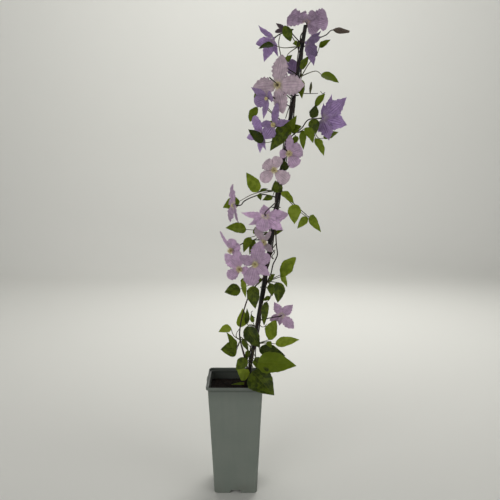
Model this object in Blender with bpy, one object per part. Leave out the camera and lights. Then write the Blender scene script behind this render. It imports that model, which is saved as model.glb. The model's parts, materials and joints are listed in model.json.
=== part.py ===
"""A flowering clematis that climbs a cane in a tall square nursery pot.

Metres, +Z up. The origin is the middle of the pot's underside. The viewer stands
on the -Y side, with +X to the right.
"""

import math

import bmesh
import bpy
from mathutils import Vector

# Pot
POT_HEIGHT = 0.220
RIM_HALF = 0.055
RIM_DEPTH = 0.0065
BODY_TOP_HALF = 0.0518
FOOT_HALF = 0.0418
WALL = 0.0014
FLOOR = 0.0018
CORNER = 0.008
CORNER_STEPS = 3
FOOT_BEVEL = 0.0008
NOTCH_WIDTH = 0.020
NOTCH_HEIGHT = 0.006
NOTCH_DEPTH = 0.016
DRAIN_RADIUS = 0.0035
DRAIN_SIDES = 8
POT_SIDES = ((1, 0), (0, 1), (-1, 0), (0, -1))
LUG_SIZE = (0.0016, 0.013, 0.010)
LUG_ROOT = 0.0004
LUG_TOP = 0.2195

# Clearance that touching pieces keep
GAP = 0.0003

# Soil
SOIL_TOP = 0.200
SOIL_RINGS = (1.0, 0.82, 0.60, 0.36, 0.15)
SOIL_ROUGHNESS = 0.0018
SOIL_EDGE_DROP = 0.002
HOLE_TOP = 0.212

# Cane, a straight stick that leans to the right
CANE_FOOT = 0.010
CANE_TOP = 0.879
CANE_X_AT_SOIL = 0.022
CANE_LEAN = 0.155
CANE_RADIUS = 0.0040
CANE_KNOTS = (0.275, 0.430, 0.585, 0.735)
CANE_KNOT_SWELL = 0.0005
CANE_KNOT_HALF = 0.006
CANE_SIDES = 8

# Climbing stems, three of them wound round the cane a third of a turn apart
STEM_FOOT = 0.180
STEM_RADIUS = 0.0014
STEM_TIP_RADIUS = 0.0010
STEM_SIDES = 5
STEM_STEP = 0.019
STEM_STANDOFF = 0.0086
TIE_PINCH = 0.0026
TIE_PINCH_LENGTH = 0.030
TURN_LENGTH = 0.240
PHASE_HEIGHT = 0.420
STEM_PHASE = {"stem_left": 270.0, "stem_back": 390.0, "stem_right": 510.0}
STEM_TOP = {"stem_left": 0.856, "stem_back": 0.832, "stem_right": 0.862}

# Where a stem swings clear of the cane: height, then how far it stands off the cane's axis
LOOPS = {
    "stem_left": (
        (0.180, 0.0045, -0.0075), (0.215, 0.0025, -0.0105), (0.237, -0.0030, -0.0130),
        (0.261, -0.0130, -0.0120), (0.290, -0.0250, -0.0100), (0.310, -0.0310, -0.0080),
        (0.332, -0.0320, -0.0060), (0.355, -0.0300, -0.0050), (0.380, -0.0260, -0.0060),
        (0.397, -0.0200, -0.0080), (0.409, -0.0120, -0.0095), (0.420, -0.0030, -0.0095)),
    "stem_back": (),
    "stem_right": (
        (0.385, 0.0030, 0.0085), (0.400, 0.0050, 0.0095), (0.412, 0.0080, 0.0105),
        (0.425, 0.0115, 0.0090), (0.443, 0.0120, 0.0040), (0.456, 0.0160, 0.0020),
        (0.465, 0.0170, 0.0010), (0.481, 0.0125, 0.0000), (0.494, 0.0095, -0.0010),
        (0.510, 0.0065, -0.0045)),
}
LOOP_MARGIN = 0.018

# Ties round the cane and what climbs it: height, shift of the ring to the right, ring radius
TIES = {
    "tie_lower": (0.400, 0.0012, 0.0068),
    "tie_middle": (0.553, 0.0, 0.0084),
    "tie_upper": (0.757, 0.0, 0.0084),
}
TIE_WIRE = 0.0006
TIE_SIDES = 4
TIE_STEPS = 12
TIE_TWIST = Vector((0.002, -0.005, 0.002))
TIE_TWIST_RADII = (0.0010, 0.0006)

# Flower stalks and buds
STALK_RADIUS = 0.0009
STALK_SIDES = 4
STALK_STEP = 0.022
STALK_RUN_OUT = 0.010

# Flower parts
BLADE_THICKNESS = 0.0007
HUB_BACK = 0.0025
HUB_FRONT = 0.0014
HUB_DEPTHS = (-HUB_BACK, -HUB_FRONT, HUB_FRONT)
HUB_RADII = (0.0016, 0.0032, 0.0029)
HUB_SIDES = 6
SEPAL_ROOT = 0.0012
SEPAL_STATIONS = (0.0, 0.22, 0.48, 0.76, 1.0)
SHORT_SEPAL = 0.034
SHORT_SEPAL_STATIONS = (0.0, 0.32, 0.70, 1.0)
SEPAL_OUTLINE = (1.2, 0.9)
SEPAL_LAYER = 0.0007
SEPAL_ARCH = 0.05
SEPAL_EDGE = -0.16
SEPAL_WAVE = 0.12

# Stamens: height above the foot, radius, and how far every other point reaches out and up
STAMEN_ROWS = ((0.0, 0.0014, 0.0, 0.0), (0.0020, 0.0030, 0.0045, 0.0028), (0.0042, 0.0024, 0.0026, 0.0038))
STAMEN_TOP = 0.0062
STAMEN_SEGMENTS = 12
STAMEN_FOOT_REACH = 0.0019

# Leaves
LEAF_STATIONS = (0.0, 0.13, 0.40, 0.73, 1.0)
SHORT_LEAF = 0.032
SHORT_LEAF_STATIONS = (0.0, 0.20, 0.60, 1.0)
LEAF_OUTLINE = (0.66, 0.95)
LEAF_JOINT = 0.002
LEAF_FACE = Vector((0.05, -0.75, 0.60))
LEAF_FACE_SPREAD = 0.30
LEAF_ARCH = 0.07
LEAF_EDGE = 0.14
LEAF_WAVE = 0.08
PETIOLE_RADII = (0.0009, 0.0003)
PETIOLE_SIDES = 3
NODE_SWELL = 0.0015

# Each flower: its middle; the way it faces (degrees round from the viewer, degrees up); its
# stalk (the height where it leaves a stem, or a point, then points on the way); and its
# sepals (degrees clockwise from its top, length, width, degrees forward)
FLOWERS = {
    "flower_01": dict(
        at=(0.1286, -0.004, 0.8842), facing=(180, 65), stalk=(0.850, (0.119, -0.0085, 0.861)),
        sepals=((125, 0.044, 0.024, 12), (80, 0.040, 0.028, 12), (25, 0.034, 0.026, 14),
                (300, 0.041, 0.026, 10), (230, 0.056, 0.028, 10))),
    "flower_02": dict(
        at=(0.071, 0.015, 0.859), facing=(-110, -30),
        stalk=((0.100, 0.0190, 0.873), (0.090, 0.014, 0.869)), stem="stem_left",
        sepals=((0, 0.040, 0.015, 22), (85, 0.045, 0.021, 12), (140, 0.052, 0.020, 22),
                (220, 0.036, 0.013, 22))),
    "flower_03": dict(
        at=(0.090, 0.022, 0.878), facing=(-90, 0),
        stalk=(0.849, (0.106, 0.012, 0.865), (0.102, 0.018, 0.872)),
        sepals=((10, 0.020, 0.008, 58), (130, 0.020, 0.008, 62), (250, 0.018, 0.008, 66))),
    "flower_04": dict(
        at=(0.127, -0.016, 0.846), facing=(95, -12), stalk=(0.825, (0.113, -0.014, 0.838)),
        sepals=((348, 0.049, 0.017, 38), (298, 0.046, 0.018, 34), (242, 0.042, 0.018, 30),
                (192, 0.047, 0.016, 30), (110, 0.042, 0.016, 34))),
    "flower_05": dict(
        at=(0.076, -0.038, 0.770), facing=(-5, 5), stalk=(0.746,),
        sepals=((8, 0.056, 0.034, 4), (90, 0.048, 0.036, 4), (165, 0.052, 0.026, 4),
                (275, 0.045, 0.030, 4))),
    "flower_06": dict(
        at=(0.056, -0.058, 0.747), facing=(-25, -15), stalk=(0.735,),
        sepals=((315, 0.034, 0.012, 18), (250, 0.030, 0.020, 22), (185, 0.040, 0.013, 18),
                (95, 0.020, 0.018, 40))),
    "flower_07": dict(
        at=(0.070, -0.038, 0.702), facing=(-15, 0), stalk=(0.690,),
        sepals=((15, 0.040, 0.015, -4), (80, 0.034, 0.018, 10), (215, 0.036, 0.028, 10),
                (290, 0.030, 0.020, 8))),
    "flower_08": dict(
        at=(0.050, 0.004, 0.688), facing=(-80, -10), stalk=(0.680,),
        sepals=((335, 0.040, 0.014, 30), (262, 0.040, 0.018, 25), (205, 0.040, 0.016, 12),
                (130, 0.040, 0.016, 14), (55, 0.036, 0.016, 20))),
    "flower_09": dict(
        at=(0.098, -0.030, 0.652), facing=(-5, 0), stalk=(0.645,),
        sepals=((5, 0.031, 0.012, 6), (85, 0.026, 0.022, 6), (145, 0.030, 0.022, 6),
                (250, 0.018, 0.014, 6))),
    "flower_10": dict(
        at=(0.071, -0.034, 0.623), facing=(0, 0), stalk=(0.615,),
        sepals=((25, 0.028, 0.020, 4), (305, 0.024, 0.020, 4), (230, 0.033, 0.024, 4),
                (120, 0.036, 0.024, 4))),
    "flower_11": dict(
        at=(0.161, 0.005, 0.715), facing=(130, 5),
        stalk=(0.680, (0.109, -0.006, 0.688), (0.123, -0.004, 0.699), (0.134, -0.003, 0.713)),
        sepals=((8, 0.030, 0.010, 15), (340, 0.047, 0.014, 15), (302, 0.057, 0.026, 12),
                (255, 0.053, 0.028, 12), (192, 0.041, 0.024, 15), (135, 0.034, 0.018, 12))),
    "flower_12": dict(
        at=(-0.002, 0.000, 0.557), facing=(-78, 0),
        stalk=(0.572, (0.052, 0.003, 0.577), (0.035, 0.002, 0.573), (0.018, 0.002, 0.565)),
        sepals=((350, 0.038, 0.020, 5), (285, 0.038, 0.020, 4), (205, 0.036, 0.018, 6),
                (140, 0.038, 0.016, -6), (65, 0.038, 0.020, 4))),
    "flower_13": dict(
        at=(0.056, -0.034, 0.542), facing=(178, -40), stalk=(0.562, (0.071, -0.030, 0.561)),
        sepals=((80, 0.046, 0.020, 5), (8, 0.036, 0.020, 5), (278, 0.043, 0.024, 5),
                (225, 0.043, 0.024, 5), (175, 0.037, 0.020, 5), (122, 0.037, 0.014, 5))),
    "flower_14": dict(
        at=(0.053, -0.014, 0.489), facing=(0, 0), stalk=(0.480,),
        sepals=((335, 0.031, 0.020, 4), (45, 0.029, 0.012, 4), (230, 0.026, 0.018, 4),
                (140, 0.026, 0.018, 4))),
    "flower_15": dict(
        at=(0.037, -0.050, 0.454), facing=(0, 0), stalk=(0.445,),
        sepals=((12, 0.038, 0.032, 4), (310, 0.031, 0.022, 4), (195, 0.042, 0.032, 4),
                (125, 0.033, 0.024, 4), (65, 0.032, 0.022, 4))),
    "flower_16": dict(
        at=(0.009, -0.034, 0.442), facing=(-8, 0), stalk=(0.430,),
        sepals=((318, 0.041, 0.024, 4), (210, 0.026, 0.026, 4), (5, 0.033, 0.020, 4),
                (115, 0.022, 0.020, 4))),
    "flower_17": dict(
        at=(-0.007, -0.012, 0.473), facing=(-20, 5),
        stalk=(0.490, (0.034, 0.009, 0.490), (0.014, 0.005, 0.484)),
        sepals=((325, 0.044, 0.009, 6), (20, 0.028, 0.024, 6), (80, 0.020, 0.018, 6),
                (165, 0.018, 0.014, 6))),
    "flower_18": dict(
        at=(0.088, -0.006, 0.346), facing=(170, -10), stalk=(0.335, (0.070, -0.013, 0.344)),
        sepals=((30, 0.030, 0.014, 6), (315, 0.031, 0.016, 6), (228, 0.033, 0.016, 6),
                (115, 0.023, 0.013, 6), (175, 0.020, 0.012, 6))),
    "flower_19": dict(
        at=(0.1086, 0.025, 0.795), facing=(-10, 80), stalk=(0.775,),
        sepals=((300, 0.028, 0.014, 60), (185, 0.030, 0.014, 62), (70, 0.028, 0.014, 58))),
}
HALF_OPEN = ("flower_03", "flower_19")

# Bare shoots that grow from a stem: the stem, points along the shoot, its radius at foot and tip
SHOOTS = (
    ("stem_left", ((0.099, 0.007, 0.795), (0.088, 0.011, 0.812), (0.084, 0.013, 0.830),
                   (0.080, 0.013, 0.850), (0.083, 0.013, 0.866)), (0.0010, 0.0007)),
    ("stem_right", ((0.1124, -0.0051, 0.762), (0.124, -0.0065, 0.760), (0.138, -0.006, 0.7595),
                    (0.151, -0.004, 0.760)), (0.0009, 0.0005)),
    ("stem_right", ((0.1255, 0.0077, 0.842), (0.136, 0.011, 0.855), (0.150, 0.011, 0.865),
                    (0.162, 0.009, 0.867), (0.170, 0.008, 0.871), (0.178, 0.006, 0.872)),
     (0.0010, 0.0009)),
)

# Buds at the ends of shoots: the stem, points along the bud, its radius at each point
BUDS = (
    ("stem_right", ((0.137, -0.006, 0.7595), (0.137, -0.006, 0.764), (0.1375, -0.006, 0.768),
                    (0.138, -0.006, 0.773), (0.1385, -0.006, 0.780)),
     (0.0008, 0.0016, 0.0024, 0.0018, 0.0005)),
    ("stem_right", ((0.1775, 0.006, 0.872), (0.180, 0.006, 0.872), (0.184, 0.006, 0.8715),
                    (0.189, 0.006, 0.871), (0.196, 0.006, 0.870), (0.207, 0.006, 0.869)),
     (0.0009, 0.0034, 0.0042, 0.0034, 0.0018, 0.0007)),
)
BUD_SIDES = 6

# Each spray of leaves: the height where it leaves the nearest stem, or the point of its own
# node, then its leaves (base, tip, width, points of the leaf stalk on the way)
SPRAYS = {
    "leaves_01": (0.842, (
        ((0.093, -0.004, 0.874), (0.099, -0.008, 0.849), 0.016, ((0.103, -0.006, 0.858),)),
        ((0.109, -0.009, 0.843), (0.101, -0.014, 0.841), 0.011, ()),
        ((0.070, -0.008, 0.844), (0.043, -0.014, 0.836), 0.014, ((0.088, -0.006, 0.839),)),
        ((0.093, 0.005, 0.817), (0.104, 0.001, 0.828), 0.009, ((0.097, 0.003, 0.830),)))),
    "leaves_02": (0.790, (
        ((0.120, -0.010, 0.801), (0.133, -0.014, 0.824), 0.013, ()),
        ((0.156, -0.005, 0.793), (0.188, -0.009, 0.778), 0.020,
         ((0.132, -0.004, 0.795), (0.147, -0.005, 0.799))),
        ((0.119, -0.014, 0.783), (0.121, -0.020, 0.749), 0.014, ()),
        ((0.153, 0.006, 0.842), (0.173, 0.004, 0.855), 0.010,
         ((0.134, 0.003, 0.812), (0.148, 0.004, 0.828))))),
    "leaves_03": (0.692, (
        ((0.099, -0.017, 0.691), (0.112, -0.021, 0.720), 0.014, ()),
        ((0.109, -0.012, 0.695), (0.120, -0.014, 0.703), 0.015, ()),
        ((0.124, -0.013, 0.694), (0.125, -0.016, 0.659), 0.011, ((0.116, -0.014, 0.690),)),
        ((0.129, -0.016, 0.699), (0.142, -0.020, 0.671), 0.018, ((0.116, -0.015, 0.691),)),
        ((0.112, -0.010, 0.684), (0.110, -0.015, 0.667), 0.010, ()),
        ((0.092, -0.016, 0.690), (0.070, -0.024, 0.664), 0.020, ()))),
    "leaves_04": ((0.141, -0.0050, 0.7152), (
        ((0.146, -0.007, 0.735), (0.162, -0.009, 0.760), 0.011, ()),
        ((0.141, -0.009, 0.720), (0.143, -0.012, 0.738), 0.014, ()),
        ((0.142, -0.010, 0.713), (0.149, -0.014, 0.696), 0.018, ()),
        ((0.147, -0.008, 0.680), (0.163, -0.012, 0.648), 0.016, ((0.143, -0.008, 0.700),)),
        ((0.168, 0.040, 0.681), (0.197, 0.043, 0.693), 0.014,
         ((0.1425, -0.0065, 0.706), (0.147, 0.008, 0.694), (0.156, 0.026, 0.682))))),
    "leaves_05": (0.705, (
        ((0.041, 0.002, 0.737), (0.027, -0.006, 0.710), 0.018,
         ((0.070, 0.008, 0.724), (0.052, 0.008, 0.738))),
        ((0.040, 0.010, 0.746), (0.043, 0.014, 0.774), 0.012,
         ((0.070, 0.010, 0.726), (0.054, 0.011, 0.742))),
        ((0.051, -0.030, 0.672), (0.0245, -0.031, 0.695), 0.016,
         ((0.0895, -0.0105, 0.694), (0.084, -0.014, 0.684), (0.065, -0.026, 0.673))),
        ((0.076, -0.010, 0.700), (0.057, -0.009, 0.709), 0.014, ()))),
    "leaves_06": (0.580, (
        ((0.080, -0.015, 0.582), (0.074, -0.020, 0.604), 0.017, ()),
        ((0.086, -0.014, 0.583), (0.109, -0.018, 0.561), 0.014, ()),
        ((0.111, -0.014, 0.560), (0.110, -0.023, 0.524), 0.021, ((0.096, -0.012, 0.571),)),
        ((0.135, -0.005, 0.536), (0.116, -0.010, 0.514), 0.012,
         ((0.100, -0.010, 0.566), (0.124, -0.006, 0.543))),
        ((0.138, -0.004, 0.535), (0.161, -0.007, 0.507), 0.012, ((0.136, -0.005, 0.537),)),
        ((0.140, 0.000, 0.537), (0.157, 0.006, 0.524), 0.010, ((0.136, -0.005, 0.537),)),
        ((0.094, -0.014, 0.622), (0.089, -0.013, 0.641), 0.012, ((0.087, -0.015, 0.602),)))),
    "leaves_07": (0.584, (
        ((0.043, -0.001, 0.582), (0.021, -0.004, 0.618), 0.020, ()),
        ((0.046, -0.004, 0.583), (0.062, -0.010, 0.588), 0.006, ()),
        ((0.045, -0.005, 0.579), (0.048, -0.010, 0.567), 0.008, ()),
        ((0.070, -0.006, 0.573), (0.051, -0.012, 0.567), 0.010, ()),
        ((0.008, 0.046, 0.561), (-0.025, 0.048, 0.548), 0.023,
         ((0.056, 0.016, 0.583), (0.030, 0.034, 0.574))))),
    "leaves_08": (0.503, (
        ((0.021, 0.002, 0.511), (-0.018, -0.006, 0.515), 0.021, ((0.042, 0.010, 0.508),)),
        ((0.038, 0.013, 0.500), (0.038, 0.014, 0.515), 0.010, ()),
        ((0.029, -0.002, 0.497), (0.016, -0.010, 0.469), 0.014, ((0.044, 0.005, 0.500),)),
        ((0.035, 0.000, 0.492), (0.027, -0.006, 0.464), 0.011, ((0.046, 0.004, 0.497),)),
        ((0.056, 0.013, 0.503), (0.064, 0.020, 0.497), 0.008, ()),
        ((0.070, 0.016, 0.501), (0.091, 0.013, 0.508), 0.010, ((0.061, 0.015, 0.503),)))),
    "leaves_09": (0.412, (
        ((0.084, -0.006, 0.426), (0.113, -0.011, 0.460), 0.028, ()),
        ((0.086, 0.001, 0.425), (0.098, 0.006, 0.399), 0.009, ()),
        ((0.068, -0.011, 0.410), (0.070, -0.018, 0.387), 0.013, ()),
        ((0.082, -0.009, 0.412), (0.080, -0.022, 0.375), 0.021, ()),
        ((0.065, -0.011, 0.416), (0.075, -0.020, 0.430), 0.011, ()),
        ((0.066, -0.014, 0.385), (0.052, -0.019, 0.378), 0.007, ((0.070, -0.012, 0.400),)),
        ((0.060, -0.017, 0.373), (0.054, -0.023, 0.332), 0.011,
         ((0.070, -0.012, 0.398), (0.066, -0.015, 0.382))))),
    "leaves_10": (0.416, (
        ((0.033, -0.024, 0.408), (0.038, -0.036, 0.367), 0.021, ()),
        ((0.010, -0.020, 0.401), (-0.020, -0.026, 0.396), 0.021, ()),
        ((0.015, -0.014, 0.418), (0.020, -0.022, 0.385), 0.009, ()),
        ((0.018, -0.006, 0.420), (0.014, -0.002, 0.404), 0.012, ()),
        ((0.046, -0.018, 0.423), (0.043, -0.024, 0.410), 0.010, ()))),
    "leaves_11": (0.300, (
        ((0.003, -0.018, 0.281), (-0.028, -0.026, 0.285), 0.026, ()),
        ((0.001, -0.014, 0.281), (-0.017, -0.012, 0.315), 0.013, ()),
        ((-0.009, -0.016, 0.323), (-0.029, -0.024, 0.314), 0.015, ((-0.003, -0.012, 0.308),)),
        ((0.010, 0.004, 0.320), (0.014, 0.004, 0.358), 0.019,
         ((0.0025, -0.007, 0.302), (0.002, 0.001, 0.309))),
        ((0.014, -0.015, 0.303), (0.025, -0.020, 0.280), 0.009, ()),
        ((0.043, -0.028, 0.262), (0.115, -0.048, 0.260), 0.042,
         ((0.012, -0.020, 0.307), (0.030, -0.032, 0.290))))),
    "leaves_12": (0.325, (
        ((0.020, -0.018, 0.327), (0.047, -0.025, 0.288), 0.026, ((0.029, -0.014, 0.331),)),
        ((0.021, 0.000, 0.327), (0.022, 0.004, 0.358), 0.009, ((0.028, -0.008, 0.327),)),
        ((0.034, -0.012, 0.334), (0.030, -0.012, 0.351), 0.007, ()))),
    "leaves_13": (0.290, (
        ((0.049, -0.011, 0.284), (0.096, -0.016, 0.269), 0.020, ()),
        ((0.077, -0.007, 0.290), (0.123, -0.015, 0.301), 0.017, ((0.060, -0.008, 0.292),)),
        ((0.063, -0.010, 0.300), (0.074, -0.017, 0.339), 0.023, ()),
        ((0.061, -0.013, 0.297), (0.069, -0.018, 0.285), 0.010, ()))),
    "leaves_14": (0.258, (
        ((0.032, -0.036, 0.2452), (0.0727, -0.074, 0.2133), 0.045, ((0.032, -0.020, 0.252),)),
        ((0.025, -0.0035, 0.277), (0.0185, -0.0015, 0.254), 0.009, ((0.0255, -0.0095, 0.268),)),
        ((0.040, -0.014, 0.266), (0.051, -0.020, 0.240), 0.017, ()),
        ((0.020, -0.018, 0.265), (0.001, -0.027, 0.244), 0.018, ()),
        ((0.024, -0.022, 0.228), (0.005, -0.029, 0.247), 0.022, ()))),
}


def cane_centre(height):
    """The cane's axis at a height."""
    return Vector((CANE_X_AT_SOIL + CANE_LEAN * (height - SOIL_TOP), 0.0, height))


def wound_point(stem, height):
    """Where a stem wound round the cane lies at a height, drawn in at each tie."""
    turn = 360.0 * (height - PHASE_HEIGHT) / TURN_LENGTH
    angle = math.radians(STEM_PHASE[stem] + turn)
    drawn_in = sum(math.exp(-((height - tie[0]) / TIE_PINCH_LENGTH) ** 2) for tie in TIES.values())
    reach = STEM_STANDOFF - TIE_PINCH * drawn_in
    return cane_centre(height) + reach * Vector((math.cos(angle), math.sin(angle), 0.0))


def smooth_path(points, step):
    """Points about a step apart on a smooth curve through the given points."""
    path = [Vector(point) for point in points]
    ends = [2 * path[0] - path[1]] + path + [2 * path[-1] - path[-2]]
    result = [path[0]]
    for k in range(len(path) - 1):
        before, start, end, after = ends[k:k + 4]
        count = max(1, round((end - start).length / step))
        for i in range(1, count + 1):
            t = i / count
            blend = (2 * start + (end - before) * t
                     + (2 * before - 5 * start + 4 * end - after) * t ** 2
                     + (3 * start - before - 3 * end + after) * t ** 3)
            result.append(blend * 0.5)
    return result


def stem_path(stem):
    """The whole of one climbing stem, its loops off the cane included."""
    loop = [cane_centre(z) + Vector((dx, dy, 0.0)) for z, dx, dy in LOOPS[stem]]
    clear_of = [(loop[0].z - LOOP_MARGIN, loop[-1].z + LOOP_MARGIN)] if loop else []
    count = round((STEM_TOP[stem] - STEM_FOOT) / STEM_STEP)
    heights = [STEM_FOOT + (STEM_TOP[stem] - STEM_FOOT) * k / count for k in range(count + 1)]
    wound = [wound_point(stem, z) for z in heights
             if not any(low < z < high for low, high in clear_of)]
    return smooth_path(sorted(wound + loop, key=lambda point: point.z), STEM_STEP)


STEM_PATHS = {stem: stem_path(stem) for stem in STEM_PHASE}


def stem_point(stem, height):
    """The middle of a stem at a height."""
    path = STEM_PATHS[stem]
    for low, high in zip(path, path[1:]):
        if low.z <= height <= high.z:
            return low.lerp(high, (height - low.z) / (high.z - low.z))
    return path[-1].copy()


def stem_radius(stem, height):
    """A stem thins from the soil to its tip."""
    share = (height - STEM_FOOT) / (STEM_TOP[stem] - STEM_FOOT)
    return STEM_RADIUS + (STEM_TIP_RADIUS - STEM_RADIUS) * min(share, 1.0)


def nearest_stem(height, target):
    """The stem that passes nearest to a target, measured at one height."""
    reaching = [stem for stem in STEM_PHASE if STEM_TOP[stem] >= height]
    return min(reaching, key=lambda stem: (stem_point(stem, height) - target).length)


def across(direction):
    """Two directions square to one another and to the given one."""
    helper = Vector((0.0, 0.0, 1.0)) if abs(direction.z) < 0.9 else Vector((0.0, 1.0, 0.0))
    first = direction.cross(helper).normalized()
    return first, direction.cross(first).normalized()


def loft(rings):
    """A closed body through rings of equal count; a ring of one point is a tip."""
    vertices = [point for ring in rings for point in ring]
    faces = []
    start = 0
    for ring, following in zip(rings, rings[1:]):
        count = max(len(ring), len(following))
        other = start + len(ring)
        for i in range(count):
            j = (i + 1) % count
            if len(ring) == 1:
                faces.append((start, other + j, other + i))
            elif len(following) == 1:
                faces.append((start + i, start + j, other))
            else:
                faces.append((start + i, start + j, other + j, other + i))
        start = other
    if len(rings[0]) > 1:
        faces.append(tuple(reversed(range(len(rings[0])))))
    if len(rings[-1]) > 1:
        faces.append(tuple(range(start, start + len(rings[-1]))))
    return vertices, faces


def ring_points(centre, one, other, radius, sides):
    """Points round a circle that lies in the plane of two directions."""
    angles = [2 * math.pi * i / sides for i in range(sides)]
    return [centre + radius * (one * math.cos(a) + other * math.sin(a)) for a in angles]


def tube(points, radii, sides):
    """A closed round rod through points, with the radii spread evenly along it."""
    rings = []
    side = None
    last = len(points) - 1
    for k, point in enumerate(points):
        ahead = (points[min(k + 1, last)] - points[max(k - 1, 0)]).normalized()
        side = side or across(ahead)[0]
        side = (side - ahead * side.dot(ahead)).normalized()
        place = k / last * (len(radii) - 1)
        low = min(int(place), len(radii) - 2)
        radius = radii[low] + (radii[low + 1] - radii[low]) * (place - low)
        rings.append(ring_points(point, side, ahead.cross(side), radius, sides))
    return loft(rings)


def bulb(centre, radius):
    """A small six sided swelling."""
    pole = Vector((0.0, 0.0, radius))
    belt = ring_points(centre, Vector((1.0, 0.0, 0.0)), Vector((0.0, 1.0, 0.0)), radius, HUB_SIDES)
    return loft([[centre - pole], belt, [centre + pole]])


def blade(rows, thickness, normal):
    """A thin closed blade; its first and last rows are one point, the others run left to right.

    Both faces are split into the same triangles, so they never cross.
    """
    grid = [point for row in rows for point in row]
    half = normal * (thickness / 2)
    count = len(grid)
    tip = count - 1
    vertices = [point + half for point in grid] + [point - half for point in grid]
    triangles = [(0, 2, 1), (0, 3, 2)]
    for a in range(1, tip - 3, 3):
        b, c = a + 1, a + 2
        triangles += [(a, b, b + 3), (a, b + 3, a + 3), (b, c, b + 3), (c, c + 3, b + 3)]
    triangles += [(tip - 3, tip - 2, tip), (tip - 2, tip - 1, tip)]
    border = [0] + list(range(3, tip, 3)) + [tip] + list(range(tip - 3, 0, -3))
    faces = list(triangles)
    faces += [(c + count, b + count, a + count) for a, b, c in triangles]
    for k, a in enumerate(border):
        b = border[(k + 1) % len(border)]
        faces.append((b, a, a + count, b + count))
    return vertices, faces


def facing_frame(turn, tilt):
    """The way a flower faces, its own up and its own right as its viewer sees them."""
    turn, tilt = math.radians(turn), math.radians(tilt)
    front = Vector((math.sin(turn) * math.cos(tilt), -math.cos(turn) * math.cos(tilt), math.sin(tilt)))
    above = Vector((0.0, 0.0, 1.0))
    if abs(front.z) > math.sin(math.radians(75)):
        above = Vector((-math.sin(turn), math.cos(turn), 0.0))
    above = (above - front * above.dot(front)).normalized()
    return front, above, above.cross(front)


def outline(t, bends):
    """Half width along a blade, as a share of its widest half."""
    fullness, roundness = bends
    return math.sin(math.pi * t ** fullness) ** roundness


def blade_rows(root, along, normal, length, half_width, bends, stations, arch, edge, wave):
    """Rows of a waved blade whose middle line arches and whose edges rise or droop."""
    side = along.cross(normal)
    rows = []
    for k, t in enumerate(stations):
        middle = root + along * (length * t) + normal * (arch * length * 4 * t * (1 - t))
        if t in (0.0, 1.0):
            rows.append([middle])
            continue
        half = outline(t, bends) * half_width
        ripple = wave if k % 2 else -wave
        left = middle - side * half + normal * half * (edge + ripple)
        right = middle + side * half + normal * half * (edge - ripple)
        rows.append([left, middle, right])
    return rows


def sepal(centre, frame, sepal_row, order):
    """One sepal of a flower, as a blade that stands a little in front of or behind the next."""
    angle, length, width, lift = sepal_row
    front, above, right = frame
    turn, rise = math.radians(angle), math.radians(lift)
    spread = above * math.cos(turn) + right * math.sin(turn)
    along = spread * math.cos(rise) + front * math.sin(rise)
    normal = front * math.cos(rise) - spread * math.sin(rise)
    parity = 1 if order % 2 else -1
    root = centre + front * SEPAL_LAYER * parity + along * SEPAL_ROOT
    stations = SHORT_SEPAL_STATIONS if length < SHORT_SEPAL else SEPAL_STATIONS
    rows = blade_rows(root, along, normal, length - SEPAL_ROOT, width / 2, SEPAL_OUTLINE, stations,
                      SEPAL_ARCH, SEPAL_EDGE, SEPAL_WAVE * parity)
    return blade(rows, BLADE_THICKNESS, normal)


def hub(centre, front):
    """The small seat that a flower's sepals grow from."""
    return tube([centre + front * depth for depth in HUB_DEPTHS], HUB_RADII, HUB_SIDES)


def stamen_boss(centre, front, sepals):
    """The tuft of stamens, a dome with its points raised from its surface by rule."""
    steepest = max(row[3] for row in sepals)
    over_sepals = SEPAL_LAYER + BLADE_THICKNESS / 2 + STAMEN_FOOT_REACH * math.tan(math.radians(steepest))
    foot = centre + front * (max(HUB_FRONT, over_sepals) + GAP)
    closing = 1 - steepest / 90
    one, other = across(front)
    rings = []
    for k, (height, radius, reach, rise) in enumerate(STAMEN_ROWS):
        gather = closing if k else 1.0
        outer = (radius + reach) * gather
        low = ring_points(foot + front * height, one, other, radius * gather, STAMEN_SEGMENTS)
        tips = ring_points(foot + front * (height + rise), one, other, outer, STAMEN_SEGMENTS)
        rings.append([tips[i] if (i + k) % 2 else low[i] for i in range(STAMEN_SEGMENTS)])
    rings.append([foot + front * STAMEN_TOP])
    return loft(rings)


def leaf(base, tip, width, order):
    """One leaf blade, its face turned up and to the viewer, and the point where its stalk ends."""
    base, tip = Vector(base), Vector(tip)
    length = (tip - base).length
    along = (tip - base) / length
    parity = 1 if order % 2 else -1
    face = LEAF_FACE + Vector((LEAF_FACE_SPREAD * parity, 0.0, 0.0))
    normal = (face - along * face.dot(along)).normalized()
    stations = SHORT_LEAF_STATIONS if length < SHORT_LEAF else LEAF_STATIONS
    rows = blade_rows(base, along, normal, length, width / 2, LEAF_OUTLINE, stations,
                      LEAF_ARCH, LEAF_EDGE, LEAF_WAVE * parity)
    rib = rows[1][1] - rows[0][0]
    joint = rows[0][0] + rib.normalized() * LEAF_JOINT
    return blade(rows, BLADE_THICKNESS, normal), joint


def material(name, colour, roughness):
    """A plain finish."""
    finish = bpy.data.materials.new(name)
    finish.use_nodes = True
    finish.diffuse_color = (*colour, 1.0)
    shader = finish.node_tree.nodes["Principled BSDF"]
    shader.inputs["Base Color"].default_value = (*colour, 1.0)
    shader.inputs["Roughness"].default_value = roughness
    shader.inputs["Metallic"].default_value = 0.0
    return finish


def solid(name, shape, finish=None, collection=None):
    """One object from a shape."""
    vertices, faces = shape
    mesh = bpy.data.meshes.new(name)
    mesh.from_pydata([tuple(point) for point in vertices], [], faces)
    mesh.update()
    if finish:
        mesh.materials.append(finish)
    piece = bpy.data.objects.new(name, mesh)
    (collection or bpy.context.scene.collection).objects.link(piece)
    return piece


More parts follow.
